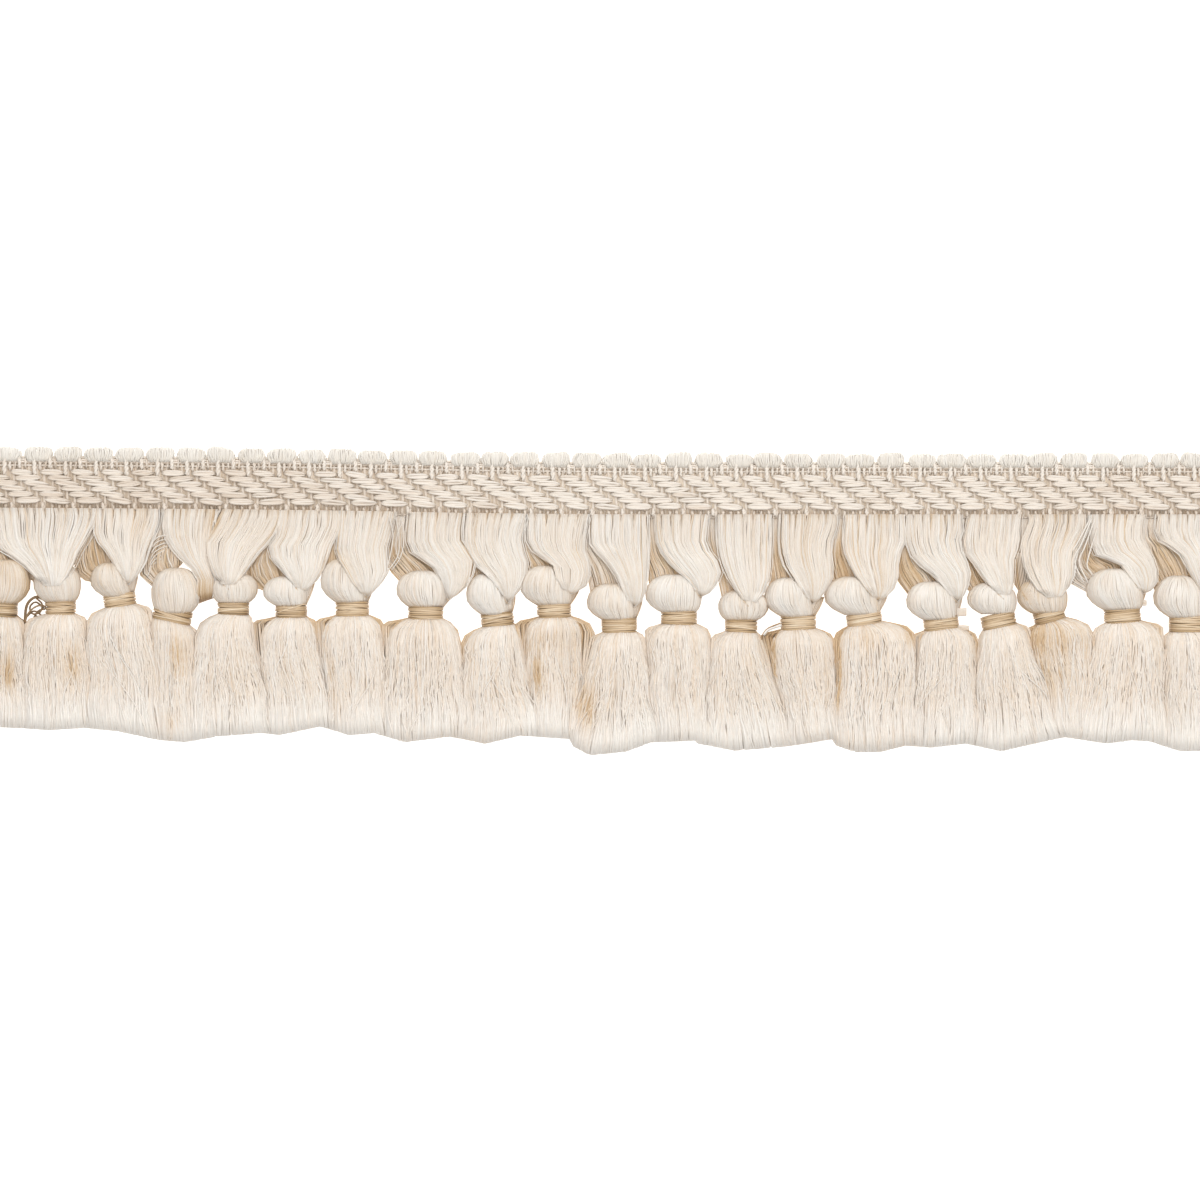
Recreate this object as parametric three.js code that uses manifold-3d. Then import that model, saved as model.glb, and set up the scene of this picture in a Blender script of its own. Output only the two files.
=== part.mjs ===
// A cut length of knotted tassel trim: a flat braided heading with a looped upper edge, and under it a row of
// tassels, each made of one lock of yarn that leaves the heading, is knotted into a ball, passes through a thread
// tie and opens into a skirt. The trim lies on its back, as a length of trim lies on a table.
// Millimetres. +X runs along the trim, +Y goes from the skirts up to the looped edge, +Z is up from the surface.
import * as THREE from "three";
import { mergeVertices } from "three/addons/utils/BufferGeometryUtils.js";
import Module from "manifold-3d";

const wasm = await Module();
wasm.setup();

// ---- driving dimensions ----
const GAP = 0.3; // clear space between neighbouring pieces
const TRIM_LENGTH = 266; // cut length, end to end
const WEB_HEIGHT = 10.6; // braid without its loops
const WEB_THICK = 2.9;
const LOOP_RISE = 3.2; // loops above the braid
const LOOP_WIDTH = 5.3;
const LOOP_PITCH = 6.46;
const FIRST_LOOP = -130.7; // the cut end goes through this loop
const LOOP_THICK = 2.1;
const BALL_DEPTH = 7.4; // knot ball, front to back
const TIE_HEIGHT = 3.0;
const TIE_DEPTH = 6.2;
const TIE_WALL = 0.75;
const SKIRT_DEPTH = 7.2; // at the shoulder
const SKIRT_FOOT_DEPTH = 4.6; // at the hem
const LOCK_THICK = 1.7;

// ---- the braid's lower edge, which bows up a little towards its left end ----
const LOWER_EDGE = [
  { x: -133, y: 19.1 },
  { x: -113, y: 19.0 },
  { x: -85, y: 18.8 },
  { x: -56, y: 18.5 },
  { x: -24, y: 17.9 },
  { x: 2, y: 17.65 },
  { x: 133, y: 17.65 },
];

// ---- one row per tassel, left to right ----
// lock: the front lock where it leaves the braid (left, right), half way down (left, right) and at its tip
// ball: centre, width, height; tie: centre, width, tilt in degrees
// meet: where the skirt meets its right neighbour; foot: the lower end of that line; hem: lowest point of the hem
const COLUMNS =
  "lockL lockR midL midR tipX tipY ballX ballY ballW ballH tieX tieY tieW tilt meetX meetY footX footY hemY".split(" ");
const TASSELS = [
  [-132.6, -127.2, -132.4, -126.8, -127.8, 0.9, -124.2, 4.3, 9.7, 8.5, -125.9, -1.6, 7.2, -3, -120.7, -5.4, -120.7, -26.8, -26.9],
  [-126.2, -105.8, -122.6, -108.4, -113.9, 2, -113.7, 3.9, 9.3, 7.8, -113, -1.4, 7, 1, -107.3, -4.6, -106.3, -27.2, -26.9],
  [-105.2, -92.5, -101.8, -94.8, -98.8, 3.7, -101.4, 4.5, 9.5, 7.4, -100.5, 0.1, 7, 9, -93.6, -2.5, -91.2, -28.9, -27.5],
  [-91.2, -81.7, -88.1, -82.1, -82.9, 1.9, -88.7, 2.4, 9.7, 8.9, -89.3, -3.1, 7.6, -13, -84.5, -7.6, -85.5, -29.6, -29.8],
  [-80.4, -66.5, -81.0, -71.8, -76.8, 2.8, -76.2, 3, 9.3, 6.6, -76.4, -1.4, 6.8, -2, -71.5, -5, -69, -28.2, -28.2],
  [-65.8, -54.4, -68.2, -56.3, -61.8, 2.4, -64.8, 2.6, 9.7, 6.8, -64.1, -2.1, 7, 2, -58.4, -3.5, -55.9, -27.4, -26.8],
  [-53.8, -41.9, -53.8, -44.2, -48.3, 0.7, -52.7, 4.1, 10.2, 8.5, -51.2, -1.6, 7.2, 1, -44.5, -5.4, -44, -28.9, -28.3],
  [-39.6, -27.9, -38.1, -26.8, -30.7, 0.9, -36.2, 2.4, 11, 7.2, -35.8, -2.5, 7.8, 0, -27.9, -9.9, -27.1, -29.4, -29.7],
  [-27.1, -14.8, -25.9, -14.6, -18, -0.1, -22.6, 1.1, 9.7, 8, -20.5, -3.7, 7.4, 11, -15.7, -4.8, -12.3, -29.2, -30.1],
  [-14, -1.7, -12.1, -1.3, -5.1, 1.5, -10.2, 3, 10.2, 7.2, -8.7, -2.1, 7.4, 2, -1.3, -8.2, -4.2, -30.6, -28.9],
  [-0.4, 11, 0.6, 10.8, 8.5, -0.6, 3.4, 0.1, 9.7, 7.6, 5.3, -5.2, 7.6, 2, 10.8, -6.1, 12.3, -30.4, -32.5],
  [12.9, 24.8, 14.6, 24.8, 22.6, 0.7, 16.7, 2, 11, 7.4, 18, -3.5, 7.6, 0, 24.8, -7.6, 24.1, -30.0, -29.6],
  [26, 38.3, 26.7, 36.8, 32.6, -0.3, 31.3, 0.5, 9.7, 7.2, 31.1, -5.2, 7.2, -3, 35.3, -6.7, 41.5, -30.9, -31.4],
  [39.6, 51.6, 39.8, 49.7, 46.6, -0.4, 41.1, 0.9, 9.3, 8, 43.2, -4.6, 7.6, 2, 51, -8.8, 51.2, -29.6, -30.2],
  [53.1, 65.6, 53.3, 64.6, 59.9, 0.5, 54.6, 1.5, 9.7, 7.6, 57.4, -3.7, 7.6, 10, 67.7, -7.8, 67.3, -31.0, -32.0],
  [66, 78.1, 67.3, 78.1, 76.8, -0.1, 71.3, 0.3, 10.2, 7.6, 73.7, -4.8, 7.6, 7, 81.3, -9.2, 81.3, -30.4, -30.9],
  [79.2, 90.2, 78.7, 89.7, 86.4, 0.7, 84, 0.3, 9.9, 7.6, 85.7, -4, 7.4, 13, 92.3, -5.9, 94.6, -30.8, -31.7],
  [92.5, 104.6, 90.6, 101.4, 97.6, 0.5, 94.8, 1.8, 9.7, 7.6, 96.1, -3.3, 7, 18, 105.4, -7.6, 102.7, -29.6, -29.2],
  [105.6, 117.3, 106.9, 117.7, 116.2, 1.1, 110.1, 2.4, 11, 8, 112, -3.1, 7.6, 4, 120.4, -6.1, 120.9, -30.0, -30.0],
  [119.4, 131.4, 123.2, 132.2, 129.3, 0.3, 124.2, 1.1, 11, 8, 125.7, -4.8, 7.6, 0, 132.8, -8.2, 132.8, -31.3, -31.9],
].map((row) => Object.fromEntries(COLUMNS.map((name, i) => [name, row[i]])));
const LEFT_END = { x: -132.8, y: -5.4, footX: -132.8, footY: -26.8 };

// ---- shapes of the rings, as shares of width (-1 to 1) and of depth (0 to 1) ----
const BODY_RING = [
  [-0.55, 0], [0.55, 0], [0.97, 0.28], [0.97, 0.66], [0.52, 1], [-0.52, 1], [-0.97, 0.66], [-0.97, 0.28],
];
const LOCK_RING = [[-0.72, 0], [0.72, 0], [1, 0.5], [0.6, 1], [-0.6, 1], [-1, 0.5]];

const lowerEdge = (x) => {
  const i = Math.min(LOWER_EDGE.length - 2, Math.max(0, LOWER_EDGE.findIndex((p) => p.x > x) - 1));
  const a = LOWER_EDGE[i], b = LOWER_EDGE[i + 1];
  return a.y + ((b.y - a.y) * (x - a.x)) / (b.x - a.x);
};

// A closed skin through rings of points, with a flat face at each end.
function skin(rings) {
  const n = rings[0].length;
  const position = rings.flat(2);
  const index = [];
  for (let r = 0; r + 1 < rings.length; r++)
    for (let i = 0; i < n; i++) {
      const j = (i + 1) % n, a = r * n + i, b = r * n + j, c = a + n, d = b + n;
      index.push(a, b, d, a, d, c);
    }
  const last = (rings.length - 1) * n;
  for (let i = 1; i + 1 < n; i++) index.push(0, i + 1, i, last, last + i, last + i + 1);
  const g = new THREE.BufferGeometry();
  g.setAttribute("position", new THREE.Float32BufferAttribute(position, 3));
  g.setIndex(index);
  return outward(g);
}

// Turns the faces outwards when they point in.
function outward(g) {
  const p = g.attributes.position, ix = g.index.array;
  const v = [new THREE.Vector3(), new THREE.Vector3(), new THREE.Vector3()];
  let volume = 0;
  for (let i = 0; i < ix.length; i += 3) {
    v.forEach((w, k) => w.fromBufferAttribute(p, ix[i + k]));
    volume += v[0].dot(v[1].clone().cross(v[2]));
  }
  if (volume < 0) for (let i = 0; i < ix.length; i += 3) [ix[i + 1], ix[i + 2]] = [ix[i + 2], ix[i + 1]];
  return g;
}

// A ring from point a to point b in plan, from height z0 to z1.
const ring = (shape, a, b, z0, z1) =>
  shape.map(([u, v]) => [
    (a[0] + b[0]) / 2 + (u * (b[0] - a[0])) / 2,
    (a[1] + b[1]) / 2 + (u * (b[1] - a[1])) / 2,
    z0 + v * (z1 - z0),
  ]);

const toSolid = (geometry) => {
  let g = geometry.clone();
  g.deleteAttribute("normal");
  g.deleteAttribute("uv");
  g = mergeVertices(g, 1e-4);
  return new wasm.Manifold(
    new wasm.Mesh({
      numProp: 3,
      vertProperties: new Float32Array(g.attributes.position.array),
      triVerts: new Uint32Array(g.index.array),
    }),
  );
};
const toGeometry = (solid) => {
  const m = solid.getMesh();
  const position = new Float32Array(m.numVert * 3);
  for (let i = 0; i < m.numVert; i++)
    position.set(m.vertProperties.subarray(i * m.numProp, i * m.numProp + 3), i * 3);
  const g = new THREE.BufferGeometry();
  g.setAttribute("position", new THREE.BufferAttribute(position, 3));
  g.setIndex(new THREE.BufferAttribute(new Uint32Array(m.triVerts), 1));
  g.computeVertexNormals();
  return g;
};

// ---- the braid: a flat bar with softened edges, and its row of loops ----
function headingSolid() {
  const half = TRIM_LENGTH / 2;
  const stations = [-half, -113, -85, -56, -24, 2, half];
  const bar = skin(
    stations.map((x) => {
      const y = lowerEdge(x), top = y + WEB_HEIGHT;
      return [
        [x, y + 0.2, 0], [x, top - 0.2, 0], [x, top, 0.8], [x, top - 0.3, WEB_THICK - 0.7],
        [x, top - 2, WEB_THICK], [x, y + 1.6, WEB_THICK], [x, y, WEB_THICK - 0.9], [x, y, 0.5],
      ];
    }),
  );
  let solid = toSolid(bar);
  const end = half - 0.1;
  for (let k = 0; FIRST_LOOP + k * LOOP_PITCH < end; k++) {
    const x = FIRST_LOOP + k * LOOP_PITCH;
    const y = lowerEdge(x) + WEB_HEIGHT;
    const rise = LOOP_RISE * (1 + 0.06 * Math.sin(k * 2.3)), w = (LOOP_WIDTH / 2) * (1 + 0.05 * Math.sin(k * 1.7));
    const within = (u) => Math.min(end, Math.max(-end, x + u * w));
    const outline = new THREE.Shape();
    outline.moveTo(within(-0.8), y - 0.8);
    outline.lineTo(within(0.8), y - 0.8);
    outline.lineTo(within(1), y + rise * 0.5);
    outline.lineTo(within(0.55), y + rise * 0.95);
    outline.lineTo(within(-0.5), y + rise);
    outline.lineTo(within(-1), y + rise * 0.55);
    solid = solid.add(toSolid(new THREE.ExtrudeGeometry(outline, { depth: LOOP_THICK, bevelEnabled: false })));
  }
  return solid;
}

// ---- a tassel: front lock, back lock, knot ball, neck and skirt, all one lock of yarn ----
// A point on the tie's own axes: s along its width, t towards the ball.
const onTie = (r, s, t) => {
  const a = THREE.MathUtils.degToRad(r.tilt);
  return [r.tieX + s * Math.cos(a) - t * Math.sin(a), r.tieY + s * Math.sin(a) + t * Math.cos(a)];
};
const tieRing = (r, half, t, z0, z1, shift = 0) =>
  ring(BODY_RING, onTie(r, shift - half, t), onTie(r, shift + half, t), z0, z1);
const lerp = (a, b, t) => [a[0] + (b[0] - a[0]) * t, a[1] + (b[1] - a[1]) * t];

function tasselSolid(r, before) {
  const left = before
    ? { x: before.meetX, y: before.meetY, footX: before.footX, footY: before.footY }
    : LEFT_END;
  const right = { x: r.meetX, y: r.meetY, footX: r.footX, footY: r.footY };
  const inset = GAP / 2 + 0.02;
  const neck = r.tieW / 2 - TIE_WALL - GAP - 0.05;
  const low = TIE_WALL + GAP + 0.05, high = TIE_DEPTH - TIE_WALL - GAP - 0.05;
  const reach = TIE_HEIGHT / 2 + GAP; // from the tie's middle to the first ring clear of it
  const bw = r.ballW / 2, bh = r.ballH;
  const ballRing = (share, at, grow) =>
    ring(
      BODY_RING,
      [r.ballX - bw * share, r.ballY + bh * at],
      [r.ballX + bw * share, r.ballY + bh * at],
      (BALL_DEPTH * (1 - grow)) * 0.5,
      BALL_DEPTH - (BALL_DEPTH * (1 - grow)) * 0.4,
    );
  // the skirt's sides: a round shoulder out to where it meets its neighbour, then nearly straight to the hem
  const side = (from, to, t) => {
    // t 0 to 1 is a quarter of an oval from under the tie to the meeting point
    const a = (t * Math.PI) / 2;
    return [from[0] + (to[0] - from[0]) * Math.sin(a), to[1] + (from[1] - to[1]) * Math.cos(a)];
  };
  const topL = onTie(r, -neck - 0.6, -reach - 0.25), topR = onTie(r, neck + 0.6, -reach - 0.25);
  const footL = [left.footX + inset, left.footY], footR = [right.footX - inset, right.footY];
  // a meeting point above the shoulder slides down its line until it is clear of the tie
  const clear = (meet, foot, top) => lerp(meet, foot, Math.max(0, (meet[1] - top[1] + 1) / (meet[1] - foot[1])));
  const meetL = clear([left.x + inset, left.y], footL, topL), meetR = clear([right.x - inset, right.y], footR, topR);
  const hem = r.hemY - (left.footY + right.footY) / 2;
  const rings = [
    ballRing(0.4, 0.5, 0.35),
    ballRing(0.86, 0.33, 0.82),
    ballRing(1, 0.02, 1),
    tieRing(r, bw * 0.9, reach + 1.3, 0.1, BALL_DEPTH * 0.96, (r.ballX - r.tieX) * 0.7),
    tieRing(r, neck + 0.7, reach + 0.3, 0.25, BALL_DEPTH * 0.88, (r.ballX - r.tieX) * 0.2),
    tieRing(r, neck, reach, low, high),
    tieRing(r, neck, -reach, low, high),
    ring(BODY_RING, topL, topR, 0.2, SKIRT_DEPTH * 0.86),
    ring(BODY_RING, side(topL, meetL, 0.5), side(topR, meetR, 0.5), 0, SKIRT_DEPTH),
    ring(BODY_RING, meetL, meetR, 0, SKIRT_DEPTH * 0.97),
    ring(BODY_RING, lerp(meetL, footL, 0.55), lerp(meetR, footR, 0.55), 0, (SKIRT_DEPTH + SKIRT_FOOT_DEPTH) / 2),
    ring(BODY_RING, footL, footR, 0, SKIRT_FOOT_DEPTH).map(([x, y, z], i) => [
      x,
      y + (Math.abs(BODY_RING[i][0]) < 0.6 ? hem : 0),
      z,
    ]),
  ];
  const body = toSolid(skin(rings));

  // front lock: from the braid's lower edge to its tip, then in under the ball
  const yTop = (x) => lowerEdge(x) - GAP - 0.02;
  const midY = (yTop((r.lockL + r.lockR) / 2) + r.tipY) / 2 + 1;
  const inBall = [r.ballX + (r.tipX - r.ballX) * 0.35, r.ballY - bh * 0.12];
  const front = skin([
    ring(LOCK_RING, [r.lockL, yTop(r.lockL)], [r.lockR, yTop(r.lockR)], 1.1, 1.1 + LOCK_THICK),
    ring(LOCK_RING, [r.midL, midY], [r.midR, midY], 1.9, 1.9 + LOCK_THICK * 1.7),
    ring(LOCK_RING, lerp([r.midL, midY], [r.tipX, r.tipY], 0.7), lerp([r.midR, midY], [r.tipX, r.tipY], 0.62), 2.2, 6.4),
    ring(LOCK_RING, [inBall[0] - 1, inBall[1]], [inBall[0] + 1, inBall[1]], 2.4, 5.2),
  ]);
  // back lock: under the front lock, from its left part to the top of the ball
  const backR = r.lockL + (r.lockR - r.lockL) * 0.6;
  const back = skin([
    ring(LOCK_RING, [r.lockL + 0.3, yTop(r.lockL)], [backR, yTop(backR)], 0, 1.4),
    ring(
      LOCK_RING,
      [Math.max(r.ballX - bw * 0.7, (before ? before.midR : -200) + 0.6), midY - 0.5],
      [r.ballX + bw * 0.55, midY - 0.5],
      0, 3,
    ),
    ring(LOCK_RING, [r.ballX - bw * 0.6, r.ballY + bh * 0.1], [r.ballX + bw * 0.6, r.ballY + bh * 0.1], 0.8, 6),
  ]);
  return body.add(toSolid(front)).add(toSolid(back));
}

// ---- the thread tie: a flat band round the neck ----
function tieGeometry(r) {
  const half = r.tieW / 2, t = TIE_HEIGHT / 2;
  const band = (out, up) =>
    tieRing(r, half - TIE_WALL + out * TIE_WALL, up, TIE_WALL - out * TIE_WALL, TIE_DEPTH - TIE_WALL + out * TIE_WALL);
  const loops = [band(0, t), band(1, t * 0.8), band(1, -t * 0.8), band(0, -t)];
  const n = BODY_RING.length;
  const position = loops.flat(2), index = [];
  for (let k = 0; k < loops.length; k++)
    for (let i = 0; i < n; i++) {
      const j = (i + 1) % n, m = (k + 1) % loops.length;
      index.push(k * n + i, k * n + j, m * n + j, k * n + i, m * n + j, m * n + i);
    }
  const g = new THREE.BufferGeometry();
  g.setAttribute("position", new THREE.Float32BufferAttribute(position, 3));
  g.setIndex(index);
  outward(g);
  g.computeVertexNormals();
  return g;
}

const yarn = () => new THREE.MeshStandardMaterial({ color: 0xe6dac6, roughness: 0.62, metalness: 0 });
const braid = () => new THREE.MeshStandardMaterial({ color: 0xdcd2c2, roughness: 0.7, metalness: 0 });
const thread = () => new THREE.MeshStandardMaterial({ color: 0xcdb389, roughness: 0.38, metalness: 0 });

const root = new THREE.Group();
root.name = "tassel_trim";
const add = (name, geometry, material) => {
  const mesh = new THREE.Mesh(geometry, material);
  mesh.name = name;
  root.add(mesh);
};
add("heading", toGeometry(headingSolid()), braid());
TASSELS.forEach((r, i) => {
  const number = String(i + 1).padStart(2, "0");
  add("tassel_" + number, toGeometry(tasselSolid(r, TASSELS[i - 1])), yarn());
  add("tie_" + number, tieGeometry(r), thread());
});

// the frame's origin: the middle of the trim in plan, on the surface it lies on
const box = new THREE.Box3().setFromObject(root);
const middle = box.getCenter(new THREE.Vector3());
root.children.forEach((m) => m.geometry.translate(-middle.x, -middle.y, -box.min.z));

export default root;
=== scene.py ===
import math
import bpy
import numpy as np
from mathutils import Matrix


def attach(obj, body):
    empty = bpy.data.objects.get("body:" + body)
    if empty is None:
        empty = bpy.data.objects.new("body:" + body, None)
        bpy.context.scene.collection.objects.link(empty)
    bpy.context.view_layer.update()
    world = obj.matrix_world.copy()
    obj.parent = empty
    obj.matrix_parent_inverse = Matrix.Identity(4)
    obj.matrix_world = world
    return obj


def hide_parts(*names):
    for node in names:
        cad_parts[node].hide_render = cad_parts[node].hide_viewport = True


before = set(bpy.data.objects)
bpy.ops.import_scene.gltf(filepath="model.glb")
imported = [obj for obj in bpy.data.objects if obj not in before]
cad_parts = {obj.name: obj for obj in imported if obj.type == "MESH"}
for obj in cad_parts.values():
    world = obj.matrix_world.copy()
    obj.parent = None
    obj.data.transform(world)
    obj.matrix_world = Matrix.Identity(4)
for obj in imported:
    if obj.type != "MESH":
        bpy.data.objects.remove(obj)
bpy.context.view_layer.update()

# ---------------------------------------------------------------- sizes and places
# Working unit is the millimetre; meshes are written in metres.
# Places are given in the frame of the 1200 px view: px to the right, py down.
PX = 254.0 / 1200.0
PX0, PY0, DY = 594.0, 601.3, -0.222
WEB_H = 10.6
FLAT_LEN = 266.0


def at(px, py):
    return ((px - PX0) * PX, (PY0 - py) * PX + DY)


def pts(*xy):
    return np.array([at(x, y) for x, y in xy])


EDGE_X = np.array([-133.0, -113.0, -85.0, -56.0, -24.0, 2.0, 133.0])
EDGE_Y = np.array([19.1, 19.0, 18.8, 18.5, 17.9, 17.65, 17.65]) + DY


def lower_edge(x):
    return np.interp(x, EDGE_X, EDGE_Y)


# hem of the skirts, as it rises and falls along the trim
HEM = np.array([
    (-40, 727), (0, 727), (50, 730), (85, 728), (120, 731), (160, 740), (185, 742), (220, 736), (262, 733),
    (280, 735), (320, 726.5), (350, 735), (375, 733), (405, 742), (450, 736.5), (485, 743.5), (520, 735.5),
    (570, 739), (575, 747), (590, 755), (625, 751.5), (650, 742.5), (695, 740.5), (700, 744), (735, 750.5),
    (790, 746), (833, 739), (838, 746), (855, 752), (880, 751.5), (905, 745.6), (930, 747.5), (965, 743.5),
    (1000, 751), (1040, 742), (1065, 737), (1105, 743.5), (1130, 740), (1150, 741.5), (1180, 751), (1230, 750)])


def hem(x):
    px = x / PX + PX0
    return (PY0 - np.interp(px, HEM[:, 0], HEM[:, 1])) * PX + DY


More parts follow.
